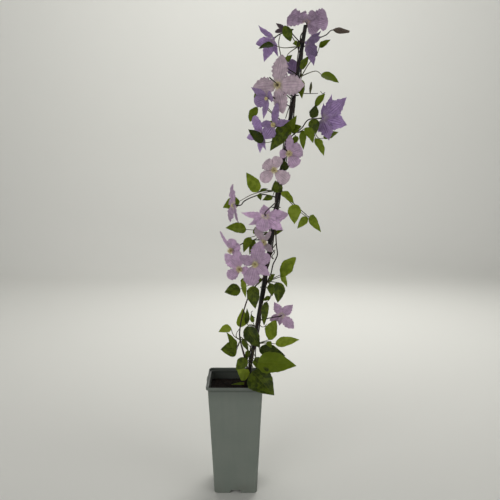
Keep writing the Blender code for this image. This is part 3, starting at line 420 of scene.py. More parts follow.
# Tendrils and loose ends beside the stems: points along each, and its radius at foot and tip
TENDRILS = (
    (((0.0781, -0.004, 0.4862), (0.0740, -0.008, 0.4811), (0.0700, -0.010, 0.4757),
      (0.0743, -0.006, 0.4684), (0.0697, -0.010, 0.4624), (0.0723, -0.012, 0.4570)),
     (0.0010, 0.0006)),
    (((0.0751, -0.006, 0.4732), (0.0703, -0.012, 0.4694), (0.0675, -0.010, 0.4624),
      (0.0710, -0.006, 0.4560)),
     (0.0009, 0.0006)),
    (((0.0372, -0.012, 0.3429), (0.0318, -0.016, 0.3489), (0.0303, -0.014, 0.3544),
      (0.0330, -0.010, 0.3561)),
     (0.0008, 0.0006)),
    (((0.0443, -0.006, 0.3339), (0.0490, -0.014, 0.3271), (0.0557, -0.012, 0.3259),
      (0.0596, -0.008, 0.3299)),
     (0.0008, 0.0006)),
    (((0.1636, -0.006, 0.7614), (0.1591, -0.006, 0.7596), (0.1552, -0.006, 0.7637)),
     (0.0006, 0.0005)),
    (((0.0736, -0.046, 0.7729), (0.0667, -0.056, 0.7772), (0.0614, -0.060, 0.7809)),
     (0.0008, 0.0012)),
    (((0.0864, -0.040, 0.7554), (0.0893, -0.040, 0.7485), (0.0895, -0.040, 0.7383),
      (0.0879, -0.040, 0.7272)),
     (0.0006, 0.0010)),
    (((0.1031, -0.008, 0.7436), (0.0984, -0.012, 0.7336), (0.0950, -0.016, 0.7245),
      (0.0919, -0.018, 0.7147)),
     (0.0008, 0.0007)),
    (((0.1051, -0.008, 0.7401), (0.1065, -0.010, 0.7302), (0.1072, -0.012, 0.7230),
      (0.1081, -0.014, 0.7131)),
     (0.0008, 0.0007)),
    (((0.0270, -0.010, 0.1978), (0.0251, -0.010, 0.2223), (0.0212, -0.010, 0.2466),
      (0.0174, -0.010, 0.2688), (0.0107, -0.008, 0.2922)),
     (0.0013, 0.0009)),
    (((0.0358, -0.008, 0.1970), (0.0387, -0.010, 0.2223), (0.0406, -0.010, 0.2466),
      (0.0386, -0.010, 0.2688), (0.0395, -0.012, 0.2895)),
     (0.0013, 0.0009)),
)

# A fallen strip of leaf on the compost: its base, its tip and its width
FALLEN_LEAF = ((0.0221, 0.0110, 0.2025), (-0.0096, 0.0080, 0.2020), 0.0045)

# Each spray of leaves: the height where it leaves the nearest stem, or the point of its own
# node, then its leaves (base, tip, width, points of the leaf stalk on the way)
SPRAYS = {
    "leaves_01": (0.842, (
        ((0.0894, -0.004, 0.8776), (0.1002, -0.008, 0.8495), 0.0145, ((0.103, -0.006, 0.858),)),
        ((0.1171, -0.009, 0.8442), (0.1034, -0.014, 0.8442), 0.0125, ()),
        ((0.070, -0.008, 0.844), (0.043, -0.014, 0.836), 0.014, ((0.088, -0.006, 0.839),)),
        ((0.093, 0.005, 0.817), (0.104, 0.001, 0.828), 0.009, ((0.097, 0.003, 0.830),)))),
    "leaves_02": (0.790, (
        ((0.120, -0.01, 0.801), (0.133, -0.014, 0.824), 0.013, ()),
        ((0.156, -0.005, 0.793), (0.188, -0.009, 0.778), 0.020,
         ((0.132, -0.004, 0.795), (0.147, -0.005, 0.799))),
        ((0.119, -0.014, 0.783), (0.121, -0.02, 0.749), 0.012, ()),
        ((0.153, 0.006, 0.842), (0.173, 0.004, 0.855), 0.010,
         ((0.134, 0.003, 0.812), (0.148, 0.004, 0.828))))),
    "leaves_03": (0.692, (
        ((0.099, -0.017, 0.691), (0.112, -0.021, 0.720), 0.014, ()),
        ((0.1024, -0.012, 0.6928), (0.1212, -0.014, 0.7016), 0.015, ()),
        ((0.124, -0.013, 0.694), (0.125, -0.016, 0.659), 0.011, ((0.116, -0.014, 0.690),)),
        ((0.129, -0.016, 0.699), (0.142, -0.02, 0.671), 0.018, ((0.116, -0.015, 0.691),)),
        ((0.112, -0.01, 0.684), (0.110, -0.015, 0.667), 0.010, ()),
        ((0.0993, -0.016, 0.7068), (0.0641, -0.024, 0.6569), 0.024, ()))),
    "leaves_04": ((0.141, -0.005, 0.7152), (
        ((0.146, -0.007, 0.735), (0.1633, -0.009, 0.7593), 0.012, ()),
        ((0.1405, -0.009, 0.7161), (0.147, -0.012, 0.7397), 0.015, ()),
        ((0.1423, -0.01, 0.7143), (0.1477, -0.014, 0.6874), 0.017, ()),
        ((0.147, -0.008, 0.680), (0.163, -0.012, 0.648), 0.016, ((0.143, -0.008, 0.700),)),
        ((0.168, 0.040, 0.681), (0.197, 0.043, 0.693), 0.015,
         ((0.1425, -0.0065, 0.706), (0.147, 0.008, 0.694), (0.156, 0.026, 0.682))))),
    "leaves_05": (0.705, (
        ((0.041, 0.002, 0.737), (0.028, -0.006, 0.7092), 0.015,
         ((0.070, 0.008, 0.724), (0.052, 0.008, 0.738))),
        ((0.040, 0.010, 0.746), (0.043, 0.014, 0.774), 0.012,
         ((0.070, 0.010, 0.726), (0.054, 0.011, 0.742))),
        ((0.051, -0.03, 0.672), (0.0245, -0.031, 0.695), 0.016,
         ((0.0895, -0.0105, 0.694), (0.084, -0.014, 0.684), (0.065, -0.026, 0.673))),
        ((0.076, -0.01, 0.700), (0.057, -0.009, 0.709), 0.014, ()))),
    "leaves_06": (0.580, (
        ((0.080, -0.015, 0.582), (0.074, -0.02, 0.604), 0.017, ()),
        ((0.086, -0.014, 0.583), (0.109, -0.018, 0.561), 0.015, ()),
        ((0.111, -0.014, 0.560), (0.110, -0.023, 0.524), 0.021, ((0.096, -0.012, 0.571),)),
        ((0.135, -0.005, 0.536), (0.116, -0.01, 0.514), 0.012,
         ((0.100, -0.01, 0.566), (0.124, -0.006, 0.543))),
        ((0.138, -0.004, 0.535), (0.161, -0.007, 0.507), 0.012, ((0.136, -0.005, 0.537),)),
        ((0.140, 0.000, 0.537), (0.157, 0.006, 0.524), 0.010, ((0.136, -0.005, 0.537),)),
        ((0.094, -0.014, 0.622), (0.089, -0.013, 0.641), 0.012, ((0.087, -0.015, 0.602),)))),
    "leaves_07": (0.584, (
        ((0.043, -0.001, 0.582), (0.021, -0.004, 0.618), 0.020, ()),
        ((0.046, -0.004, 0.583), (0.062, -0.01, 0.588), 0.006, ()),
        ((0.045, -0.005, 0.579), (0.048, -0.01, 0.567), 0.008, ()),
        ((0.070, -0.006, 0.573), (0.051, -0.012, 0.567), 0.010, ()),
        ((0.008, 0.046, 0.561), (-0.025, 0.048, 0.548), 0.023,
         ((0.056, 0.016, 0.583), (0.030, 0.034, 0.574))))),
    "leaves_08": (0.503, (
        ((0.021, 0.002, 0.511), (-0.018, -0.006, 0.515), 0.0205, ((0.042, 0.010, 0.508),)),
        ((0.038, 0.013, 0.500), (0.038, 0.014, 0.515), 0.010, ()),
        ((0.029, -0.002, 0.497), (0.016, -0.01, 0.469), 0.014, ((0.044, 0.005, 0.500),)),
        ((0.035, 0.000, 0.492), (0.027, -0.006, 0.464), 0.011, ((0.046, 0.004, 0.497),)),
        ((0.056, 0.013, 0.503), (0.064, 0.020, 0.497), 0.008, ()),
        ((0.070, 0.016, 0.501), (0.091, 0.013, 0.508), 0.010, ((0.061, 0.015, 0.503),)))),
    "leaves_09": (0.412, (
        ((0.0868, -0.006, 0.4213), (0.1144, -0.011, 0.4606), 0.0225, ()),
        ((0.086, 0.001, 0.425), (0.0991, 0.006, 0.3993), 0.011, ()),
        ((0.068, -0.011, 0.410), (0.070, -0.018, 0.387), 0.013, ()),
        ((0.082, -0.009, 0.412), (0.080, -0.022, 0.375), 0.021, ()),
        ((0.065, -0.011, 0.416), (0.075, -0.02, 0.430), 0.011, ()),
        ((0.066, -0.014, 0.385), (0.052, -0.019, 0.378), 0.007, ((0.070, -0.012, 0.400),)),
        ((0.0592, -0.017, 0.3764), (0.0545, -0.023, 0.3303), 0.0125,
         ((0.070, -0.012, 0.398), (0.066, -0.015, 0.382))))),
    "leaves_10": (0.416, (
        ((0.033, -0.024, 0.408), (0.038, -0.036, 0.367), 0.021, ()),
        ((0.010, -0.02, 0.401), (-0.02, -0.026, 0.396), 0.021, ()),
        ((0.015, -0.014, 0.418), (0.020, -0.022, 0.385), 0.009, ()),
        ((0.018, -0.006, 0.420), (0.014, -0.002, 0.404), 0.012, ()),
        ((0.046, -0.018, 0.423), (0.043, -0.024, 0.410), 0.010, ()))),
    "leaves_11": (0.300, (
        ((0.003, -0.018, 0.281), (-0.028, -0.026, 0.285), 0.026, ()),
        ((0.001, -0.014, 0.281), (-0.017, -0.012, 0.315), 0.013, ()),
        ((-0.0082, -0.016, 0.3253), (-0.0316, -0.024, 0.3189), 0.015, ((-0.003, -0.012, 0.308),)),
        ((0.010, 0.004, 0.320), (0.014, 0.004, 0.358), 0.019,
         ((0.0025, -0.007, 0.302), (0.002, 0.001, 0.309))),
        ((0.014, -0.015, 0.303), (0.025, -0.02, 0.280), 0.009, ()),
        ((0.0413, -0.028, 0.2591), (0.1149, -0.048, 0.2604), 0.037,
         ((0.012, -0.02, 0.307), (0.030, -0.032, 0.290))))),
    "leaves_12": (0.325, (
        ((0.020, -0.018, 0.327), (0.047, -0.025, 0.288), 0.024, ((0.029, -0.014, 0.331),)),
        ((0.021, 0.000, 0.327), (0.022, 0.004, 0.358), 0.009, ((0.028, -0.008, 0.327),)),
        ((0.034, -0.012, 0.334), (0.030, -0.012, 0.351), 0.007, ()))),
    "leaves_13": (0.290, (
        ((0.0453, -0.011, 0.2811), (0.0961, -0.016, 0.2688), 0.022, ()),
        ((0.077, -0.007, 0.290), (0.123, -0.015, 0.301), 0.017, ((0.060, -0.008, 0.292),)),
        ((0.0645, -0.01, 0.2988), (0.0774, -0.017, 0.3403), 0.0225, ()),
        ((0.061, -0.013, 0.297), (0.069, -0.018, 0.285), 0.010, ()))),
    "leaves_14": (0.258, (
        ((0.032, -0.036, 0.2452), (0.0727, -0.074, 0.2133), 0.041, ((0.032, -0.02, 0.252),)),
        ((0.025, -0.0035, 0.277), (0.0185, -0.0015, 0.254), 0.009, ((0.0255, -0.0095, 0.268),)),
        ((0.040, -0.014, 0.266), (0.051, -0.02, 0.240), 0.017, ()),
        ((0.020, -0.018, 0.265), (0.001, -0.027, 0.244), 0.018, ()),
        ((0.024, -0.022, 0.228), (0.0033, -0.029, 0.2465), 0.020, ()))),
}

# How yellow each spray is, from 0, near black green, to 1, partly the leaves' own colour and partly
# painted shade and painted backlight, and by how much its leaves vary
SPRAY_TONES = {
    "leaves_01": 0.35, "leaves_02": 0.42, "leaves_03": 0.50, "leaves_04": 0.48, "leaves_05": 0.42,
    "leaves_06": 0.80, "leaves_07": 0.30, "leaves_08": 0.40, "leaves_09": 0.33, "leaves_10": 0.26,
    "leaves_11": 0.32, "leaves_12": 0.22, "leaves_13": 0.35, "leaves_14": 0.18,
}
TONE_SPREAD = 0.12

# Leaves that differ in tone from their spray, partly in colour and partly in painted light and
# shade, and leaves with a fuller, oval outline
LEAF_TONES = {
    ("leaves_01", 0): 0.28, ("leaves_01", 2): 0.03, ("leaves_02", 0): 0.25,
    ("leaves_03", 5): 0.34, ("leaves_04", 1): 0.08, ("leaves_04", 2): 0.28,
    ("leaves_04", 3): 0.62, ("leaves_05", 2): 0.05, ("leaves_06", 0): 0.30,
    ("leaves_06", 6): 0.10, ("leaves_07", 0): 0.72, ("leaves_07", 4): 0.62,
    ("leaves_08", 0): 0.58, ("leaves_09", 0): 0.62, ("leaves_09", 1): 0.70,
    ("leaves_10", 2): 0.85, ("leaves_11", 1): 0.40, ("leaves_11", 2): 1.00,
    ("leaves_11", 3): 0.95, ("leaves_11", 5): 0.60, ("leaves_12", 0): 0.20,
    ("leaves_13", 0): 0.20, ("leaves_13", 1): 0.90, ("leaves_13", 2): 0.75,
    ("leaves_14", 4): 0.75,
}
OVAL_LEAVES = (
    ("leaves_01", 0), ("leaves_04", 0), ("leaves_05", 0), ("leaves_09", 0), ("leaves_13", 2),
)

# How light each flower's sepals are, from 0 to 1, partly their own colour and partly painted light
# and shade, and by how much they vary
FLOWER_TONES = {
    "flower_01": 0.72, "flower_02": 0.72, "flower_03": 0.40, "flower_04": 0.05, "flower_05": 0.52,
    "flower_06": 0.40, "flower_07": 0.26, "flower_08": 0.66, "flower_09": 0.40, "flower_10": 0.68,
    "flower_11": 0.62, "flower_12": 0.30, "flower_13": 0.75, "flower_14": 0.35, "flower_15": 0.38,
    "flower_16": 0.58, "flower_17": 0.60, "flower_18": 0.48, "flower_19": 0.15,
}
SEPAL_TONE_SPREAD = 0.17

# Which finish a flower's sepals have, and how strongly their margins are crimped
SEPAL_LOOKS = {
    "flower_01": ("sepal_grey_lilac", 1.6), "flower_02": ("sepal_violet", 0.6),
    "flower_03": ("sepal_dark", 0.5), "flower_04": ("sepal_violet", 1.0),
    "flower_05": ("sepal_pale", 1.3), "flower_06": ("sepal_violet", 0.7),
    "flower_07": ("sepal_violet", 0.8), "flower_08": ("sepal_violet", 0.8),
    "flower_10": ("sepal_pale", 0.8), "flower_11": ("sepal_violet", 1.2),
    "flower_14": ("sepal_pale", 1.0), "flower_19": ("sepal_violet", 0.6),
}
USUAL_SEPALS = ("sepal_mauve", 1.0)

# How far the sepals of a flower that is seen from its side twist their faces towards the viewer
FACE_TURNS = {
    "flower_01": 0.60, "flower_02": 0.65, "flower_03": 0.60, "flower_04": 0.60, "flower_06": 0.35,
    "flower_07": 0.20, "flower_08": 0.65, "flower_11": 0.40, "flower_12": 0.35, "flower_13": 0.30,
    "flower_19": 0.60,
}

# Tufts that differ from the usual one: length of stamens, spread in radians, size of the eye
TUFT_LOOKS = {
    "flower_05": (0.0056, 1.20, 1.5), "flower_06": (0.0050, 0.80, 1.0),
    "flower_07": (0.0055, 0.90, 1.0), "flower_12": (0.0026, 0.70, 0.6),
}
USUAL_TUFT = (0.0058, 1.05, 1.0)

# Colours of the pot: plastic, dusty plastic, scuffed edges, splashed foot, painted shade on its
# inner walls, deep painted shade
POT_PLASTIC = (0.136, 0.159, 0.138)
POT_DUSTY = (0.174, 0.190, 0.167)
POT_SCUFFED = (0.26, 0.27, 0.24)
POT_SPLASHED = (0.075, 0.068, 0.055)
POT_INSIDE_SHADE = (0.030, 0.034, 0.028)
POT_SHADE = (0.012, 0.013, 0.011)

# Heights between which the pot's tone changes, from its foot to its rim; above the splashed foot
# each change is painted shade
SPLASH_SHADE = (0.0, 0.03)
NOTCH_SHADE = (0.0068, 0.0075)
WALL_SHADE = (0.1850, 0.2125)
LIP_SHADE_START = (0.2085, 0.2128)
LIP_SHADE_END = (0.2134, 0.2142)
RIM_SHADE = (0.2125, 0.2145)

# How far from the pot's axis the shade under its floor ends
NOTCH_SHADE_REACH = (0.0382, 0.0392)

# Colours of the compost: dark, brown, and its reddish fibres
SOIL_DARK = (0.002, 0.0015, 0.0015)
SOIL_BROWN = (0.010, 0.0065, 0.0045)
SOIL_FIBRE = (0.10, 0.050, 0.032)

# Colours of the leaves: dark, middle and yellow blades, partly painted shade and painted backlight,
# their veins and their undersides
LEAF_DARK = (0.026, 0.042, 0.003)
LEAF_GREEN = (0.135, 0.188, 0.007)
LEAF_YELLOW = (0.270, 0.335, 0.030)
LEAF_VEIN = (0.190, 0.220, 0.020)
LEAF_UNDER = (0.200, 0.230, 0.070)

# Sepals: colours of base, ribs, throat and margin, and the share of light that passes through; ribs
# and most margins are darker than the base, partly as painted shade in creases and where sepals
# meet
SEPAL_FINISHES = {
    "sepal_grey_lilac": ((0.42, 0.33, 0.43), (0.185, 0.120, 0.210), (0.50, 0.38, 0.28),
                         (0.34, 0.25, 0.37), 0.50),
    "sepal_violet": ((0.395, 0.285, 0.49), (0.150, 0.080, 0.225), (0.44, 0.37, 0.42),
                     (0.315, 0.21, 0.43), 0.42),
    "sepal_pale": ((0.52, 0.43, 0.48), (0.38, 0.27, 0.36), (0.54, 0.49, 0.38),
                   (0.43, 0.33, 0.42), 0.42),
    "sepal_mauve": ((0.56, 0.42, 0.56), (0.38, 0.25, 0.41), (0.62, 0.57, 0.42),
                    (0.47, 0.32, 0.50), 0.42),
    "sepal_dark": ((0.085, 0.055, 0.070), (0.045, 0.022, 0.035), (0.07, 0.07, 0.03),
                   (0.150, 0.100, 0.130), 0.25),
}

# Skins with streaks: dark and light colour, roughness, pace of the streaks, and their stretch
BARK_FINISHES = {
    "cane_stick": ((0.003, 0.003, 0.003), (0.013, 0.011, 0.010), 0.55, 900.0, 0.03),
    "stem_bark": ((0.010, 0.005, 0.004), (0.045, 0.023, 0.017), 0.55, 1400.0, 0.08),
    "stalk_skin": ((0.008, 0.005, 0.0045), (0.028, 0.015, 0.012), 0.55, 1600.0, 0.10),
    "leaf_stalk": ((0.030, 0.028, 0.008), (0.080, 0.086, 0.022), 0.50, 1600.0, 0.10),
    "bud_skin": ((0.045, 0.030, 0.028), (0.105, 0.080, 0.055), 0.60, 700.0, 0.25),
}

# Small parts: two near colours and roughness
PLAIN_FINISHES = {
    "stamen_filament": ((0.74, 0.68, 0.46), (0.86, 0.82, 0.64), 0.6),
    "stamen_anther": ((0.60, 0.50, 0.22), (0.78, 0.70, 0.40), 0.75),
    "stamen_eye": ((0.10, 0.07, 0.010), (0.26, 0.19, 0.03), 0.7),
    "stamen_dark_eye": ((0.035, 0.022, 0.010), (0.09, 0.06, 0.02), 0.7),
    "fine_hair": ((0.16, 0.15, 0.10), (0.30, 0.28, 0.20), 0.6),
    "tie_wire": ((0.008, 0.008, 0.008), (0.022, 0.022, 0.020), 0.42),
}

# The pale floor and wall: half width, front edge, where the sweep starts, its radius, wall's top
STAGE_HALF_WIDTH = 4.0
STAGE_FRONT = -3.0
STAGE_BACK = 2.0
SWEEP_RADIUS = 0.8
SWEEP_STEPS = 12
WALL_TOP = 3.5
STAGE_COLOUR = (0.665, 0.665, 0.635)

# The pale world, brightest low down: its colour, the rise over which it dims, and its strengths
WORLD_COLOUR = (0.96, 0.96, 0.95)
WORLD_RISE = (0.10, 0.65)
WORLD_STRENGTHS = (0.75, 0.10)

# Soft square lights: where each stands, what it points at, its size and its power
LIGHTS = {
    "front_light": ((-1.5, -2.4, 1.1), (0.08, 0.0, 0.5), 2.0, 29.0),
    "side_light": ((2.3, -1.3, 1.0), (0.08, 0.0, 0.5), 1.6, 15.0),
    "back_light": ((0.5, 1.5, 1.5), (0.08, 0.0, 0.6), 1.2, 15.0),
    "wall_light": ((0.0, 0.9, 2.3), (0.1, 2.8, 0.5), 1.6, 30.0),
}
LIGHT_COLOUR = (1.0, 0.99, 0.96)

# The camera, where the photograph was taken from
LENS = 43.13
SENSOR_WIDTH = 36.0
CAMERA_AT = (0.028, -1.120, 0.648)
CAMERA_PITCH = -8.92


# Shader and geometry nodes

def add(tree, kind, inputs=None, **settings):
    """One node in a tree, with its settings, and values or links for its inputs."""
    node = tree.nodes.new(kind)
    for key, value in settings.items():
        setattr(node, key, value)
    for key, value in (inputs or {}).items():
        if isinstance(value, bpy.types.NodeSocket):
            tree.links.new(value, node.inputs[key])
        else:
            node.inputs[key].default_value = value
    return node


def result_of(tree, kind, inputs=None, **settings):
    """The first output of one new node."""
    return add(tree, kind, inputs, **settings).outputs[0]


def compute(tree, operation, *values):
    """A math node's result."""
    return result_of(tree, "ShaderNodeMath", dict(enumerate(values)), operation=operation)


def times(tree, one, other):
    """The product of two values."""
    return compute(tree, "MULTIPLY", one, other)


def vector(tree, x=0.0, y=0.0, z=0.0):
    """Three values or links as one vector."""
    return result_of(tree, "ShaderNodeCombineXYZ", {0: x, 1: y, 2: z})


def ramp(tree, value, start, end, low=0.0, high=1.0):
    """A value carried smoothly from one range to another, and held at its ends."""
    inputs = {"Value": value, "From Min": start, "From Max": end, "To Min": low, "To Max": high}
    return result_of(tree, "ShaderNodeMapRange", inputs, interpolation_type="SMOOTHSTEP")


def noise_of(tree, place, scale, detail):
    """A noise pattern's value."""
    inputs = {"Vector": place, "Scale": scale, "Detail": detail}
    return result_of(tree, "ShaderNodeTexNoise", inputs)


def object_place(tree):
    """Where a point lies in the object's own coordinates."""
    return add(tree, "ShaderNodeTexCoord").outputs["Object"]


def mix(tree, factor, first, second):
    """Two colours mixed by a factor."""
    inputs = {0: factor, 6: first, 7: second}
    return add(tree, "ShaderNodeMix", inputs, data_type="RGBA", blend_type="MIX").outputs[2]


def layered(tree, colour, layers):
    """A colour with other colours laid over it, each by its own share."""
    for share, over in layers:
        colour = mix(tree, share, colour, opaque(over))
    return colour


def brighten(tree, colour, value):
    """A colour made lighter or darker by a value that is 1 where nothing changes."""
    return add(tree, "ShaderNodeHueSaturation", {"Color": colour, "Value": value}).outputs["Color"]


def opaque(colour):
    """A colour with its alpha."""
    return (*colour, 1.0)


def open_group(name, kind, inputs, outputs):
    """A node group with named sockets, what it is given, and where its results go."""
    group = bpy.data.node_groups.new(name, kind)
    rows = [("INPUT", *row) for row in inputs] + [("OUTPUT", *row, None) for row in outputs]
    for way, label, socket, default in rows:
        kind_name = "NodeSocket" + socket
        item = group.interface.new_socket(name=label, in_out=way, socket_type=kind_name)
        if default is not None:
            item.default_value = default
    given = group.nodes.new("NodeGroupInput").outputs
    results = group.nodes.new("NodeGroupOutput").inputs
    return group, given, results


def patches_group():
    """Soft patches over a surface, from 0 to 1, with finer specks beside them."""
    group, given, results = open_group(
        "soft patches", "ShaderNodeTree",
        (("Scale", "Float", 60.0), ("Fine Scale", "Float", 600.0)),
        (("Patches", "Float"), ("Specks", "Float")))
    place = object_place(group)
    for label, scale in (("Patches", "Scale"), ("Specks", "Fine Scale")):
        pattern = noise_of(group, place, given[scale], 3.0)
        group.links.new(ramp(group, pattern, 0.30, 0.70), results[label])
    return group


def grain_group():
    """Streaks that run along Z, from 0 to 1."""
    group, given, results = open_group(
        "long grain", "ShaderNodeTree",
        (("Scale", "Float", 900.0), ("Stretch", "Float", 0.04)),
        (("Grain", "Float"),))
    place = object_place(group)
    sizes = vector(group, 1.0, 1.0, given["Stretch"])
    drawn = result_of(group, "ShaderNodeVectorMath", {0: place, 1: sizes}, operation="MULTIPLY")
    pattern = noise_of(group, drawn, given["Scale"], 4.0)
    group.links.new(ramp(group, pattern, 0.32, 0.68), results["Grain"])
    return group


def veins_group():
    """What a blade's own map shows: three ribs, fine veins, and how far across and along it is."""
    group, given, results = open_group(
        "blade veins", "ShaderNodeTree",
        (("Veins", "Float", 22.0), ("Wander", "Float", 0.06)),
        (("Ribs", "Float"), ("Veins", "Float"), ("Across", "Float"), ("Along", "Float")))
    place = result_of(group, "ShaderNodeUVMap", uv_map="UVMap")
    parts = add(group, "ShaderNodeSeparateXYZ", {0: place}).outputs
    wander = compute(group, "SUBTRACT", noise_of(group, place, 5.0, 2.0), 0.5)
    shift = times(group, wander, given["Wander"])
    moved = compute(group, "ADD", parts["X"], shift)
    across = compute(group, "ABSOLUTE", compute(group, "MULTIPLY_ADD", moved, 2.0, -1.0))
    middle = ramp(group, across, 0.0, 0.07, 1.0, 0.0)
    from_side_rib = compute(group, "ABSOLUTE", compute(group, "SUBTRACT", across, SIDE_RIB_AT))
    beside = ramp(group, from_side_rib, 0.0, 0.05, 0.8, 0.0)
    fade = ramp(group, parts["Y"], 0.55, 1.0, 1.0, 0.25)
    ribs = times(group, compute(group, "MAXIMUM", middle, beside), fade)
    waves = compute(group, "COSINE", times(group, across, given["Veins"]))
    group.links.new(ribs, results["Ribs"])
    group.links.new(ramp(group, waves, 0.55, 1.0), results["Veins"])
    group.links.new(across, results["Across"])
    group.links.new(parts["Y"], results["Along"])
    return group


PATCHES = patches_group()
GRAIN = grain_group()
VEINS = veins_group()


def place_group(tree, group, inputs=None):
    """A group node in a material, with its own values."""
    node = tree.nodes.new("ShaderNodeGroup")
    node.node_tree = group
    for key, value in (inputs or {}).items():
        node.inputs[key].default_value = value
    return node.outputs


def new_finish(name, roughness, **sockets):
    """A material, its tree and its main shader, with the values that are the same all over."""
    finish = bpy.data.materials.new(name)
    finish.use_nodes = True
    shader = finish.node_tree.nodes["Principled BSDF"]
    shader.inputs["Roughness"].default_value = roughness
    for key, value in sockets.items():
        shader.inputs[key.replace("_", " ")].default_value = value
    return finish, finish.node_tree, shader


def raise_surface(tree, shader, height, distance, strength):
    """Fine relief on a shader."""
    inputs = {"Height": height, "Distance": distance, "Strength": strength}
    normal = add(tree, "ShaderNodeBump", inputs).outputs["Normal"]
    tree.links.new(normal, shader.inputs["Normal"])
    return normal


def let_light_through(tree, shader, colour, normal, share):
    """Mix a shader with light that passes through a thin blade."""
    through = add(tree, "ShaderNodeBsdfTranslucent", {"Color": colour, "Normal": normal})
    both = add(tree, "ShaderNodeMixShader", {0: share, 1: shader.outputs[0], 2: through.outputs[0]})
    tree.links.new(both.outputs[0], tree.nodes["Material Output"].inputs["Surface"])


def attribute(tree, name):
    """A value that a piece's points carry."""
    return add(tree, "ShaderNodeAttribute", attribute_name=name).outputs["Fac"]


def sepal_finish(name, base, rib, throat, margin, through):
    """A sepal: ribs and fine veins along it, a paler throat, a tinted margin, and soft patches; its
    darker ribs and margin are partly painted shade.
    """
    finish, tree, shader = new_finish(name, 0.55, Sheen_Weight=0.15, Specular_IOR_Level=0.3)
    veins = place_group(tree, VEINS)
    patches = place_group(tree, PATCHES, {"Scale": 150.0, "Fine Scale": 1400.0})
    layers = (
        # darker ribs and margins: partly the sepal's own colour, partly painted shade in its
        # creases and where sepals meet
        (times(tree, veins["Ribs"], 0.80), rib),
        (times(tree, veins["Veins"], 0.38), rib),
        (ramp(tree, veins["Along"], 0.03, 0.22, 0.85, 0.0), throat),
        (ramp(tree, veins["Across"], 0.75, 1.0, 0.0, 0.45), margin),
    )
    colour = layered(tree, opaque(base), layers)
    # The flower's tone is partly its own colour and partly painted light and shade
    tone = compute(tree, "MULTIPLY_ADD", attribute(tree, "tone"), 0.70, 0.69)
    mottle = ramp(tree, patches["Patches"], 0.0, 1.0, 0.90, 1.10)
    colour = brighten(tree, colour, times(tree, tone, mottle))
    tree.links.new(colour, shader.inputs["Base Color"])
    height = compute(tree, "MULTIPLY_ADD", veins["Veins"], 0.5, veins["Ribs"])
    height = compute(tree, "MULTIPLY_ADD", patches["Specks"], 0.4, height)
    normal = raise_surface(tree, shader, height, 0.00025, 0.5)
    let_light_through(tree, shader, colour, normal, through)
    return finish


def leaf_finish():
    """A leaf: three curved main veins, side veins, a net between them, and a paler underside."""
    finish, tree, shader = new_finish("leaf_blade", 0.50, Specular_IOR_Level=0.22)
    veins = place_group(tree, VEINS, {"Veins": 16.0, "Wander": 0.05})
    patches = place_group(tree, PATCHES, {"Scale": 120.0, "Fine Scale": 1500.0})
    slant = compute(tree, "MULTIPLY_ADD", veins["Across"], -SIDE_VEIN_SLANT, veins["Along"])
    waves = compute(tree, "COSINE", times(tree, slant, SIDE_VEIN_PACE))
    outward = ramp(tree, veins["Across"], 0.0, 0.9, 0.8, 0.2)
    side_veins = times(tree, ramp(tree, waves, 0.80, 1.0), outward)
    lines = compute(tree, "MAXIMUM", veins["Ribs"], side_veins)
    mottle = ramp(tree, patches["Patches"], 0.0, 1.0, -0.10, 0.10)
    # A leaf's tone, from dark to yellow, is partly its own colour and partly painted shade and
    # painted backlight
    tone = compute(tree, "ADD", attribute(tree, "tone"), mottle)
    layers = (
        (ramp(tree, tone, 0.0, 0.5), LEAF_GREEN),
        (ramp(tree, tone, 0.5, 1.0), LEAF_YELLOW),
        (times(tree, lines, 0.30), LEAF_VEIN),
        (times(tree, attribute(tree, "under"), 0.30), LEAF_UNDER),
    )
    colour = layered(tree, opaque(LEAF_DARK), layers)
    tree.links.new(colour, shader.inputs["Base Color"])
    rough = ramp(tree, patches["Specks"], 0.0, 1.0, 0.38, 0.60)
    tree.links.new(rough, shader.inputs["Roughness"])
    net = times(tree, patches["Specks"], 0.3)
    height = compute(tree, "MULTIPLY_ADD", lines, -1.0, net)
    normal = raise_surface(tree, shader, height, 0.0003, 0.6)
    let_light_through(tree, shader, brighten(tree, colour, 1.6), normal, 0.40)
    return finish


def bark_finish(name, dark, light, roughness, scale, stretch):
    """A stem's, leaf stalk's or cane's skin: streaks along it, patches over it."""
    finish, tree, shader = new_finish(name, roughness, Specular_IOR_Level=0.25)
    grain = place_group(tree, GRAIN, {"Scale": scale, "Stretch": stretch})["Grain"]
    patches = place_group(tree, PATCHES, {"Scale": 45.0, "Fine Scale": 900.0})
    streaks = times(tree, grain, 0.5)
    share = compute(tree, "MULTIPLY_ADD", patches["Patches"], 0.45, streaks)
    tree.links.new(mix(tree, share, opaque(dark), opaque(light)), shader.inputs["Base Color"])
    rough = ramp(tree, grain, 0.0, 1.0, roughness - 0.12, roughness + 0.12)
    tree.links.new(rough, shader.inputs["Roughness"])
    raise_surface(tree, shader, grain, 0.0002, 0.7)
    return finish


def pot_shade(tree, height, reach):
    """How dark the pot looks where its floor rises behind a notch, from 0 to 0.9."""
    under_floor = ramp(tree, reach, *NOTCH_SHADE_REACH, 1.0, 0.0)
    return times(tree, under_floor, ramp(tree, height, *NOTCH_SHADE, 0.9, 0.0))


def pot_brightness(tree, height):
    """Painted shade: what the pot's tone is multiplied by on the rim, up the wall, and under the
    lip.
    """
    on_rim = ramp(tree, height, *RIM_SHADE, 1.0, 0.88)
    up_wall = ramp(tree, height, *WALL_SHADE, 1.0, 0.82)
    under_lip = times(tree, ramp(tree, height, *LIP_SHADE_START),
                      ramp(tree, height, *LIP_SHADE_END, 1.0, 0.0))
    return on_rim, up_wall, compute(tree, "MULTIPLY_ADD", under_lip, -0.45, 1.0)


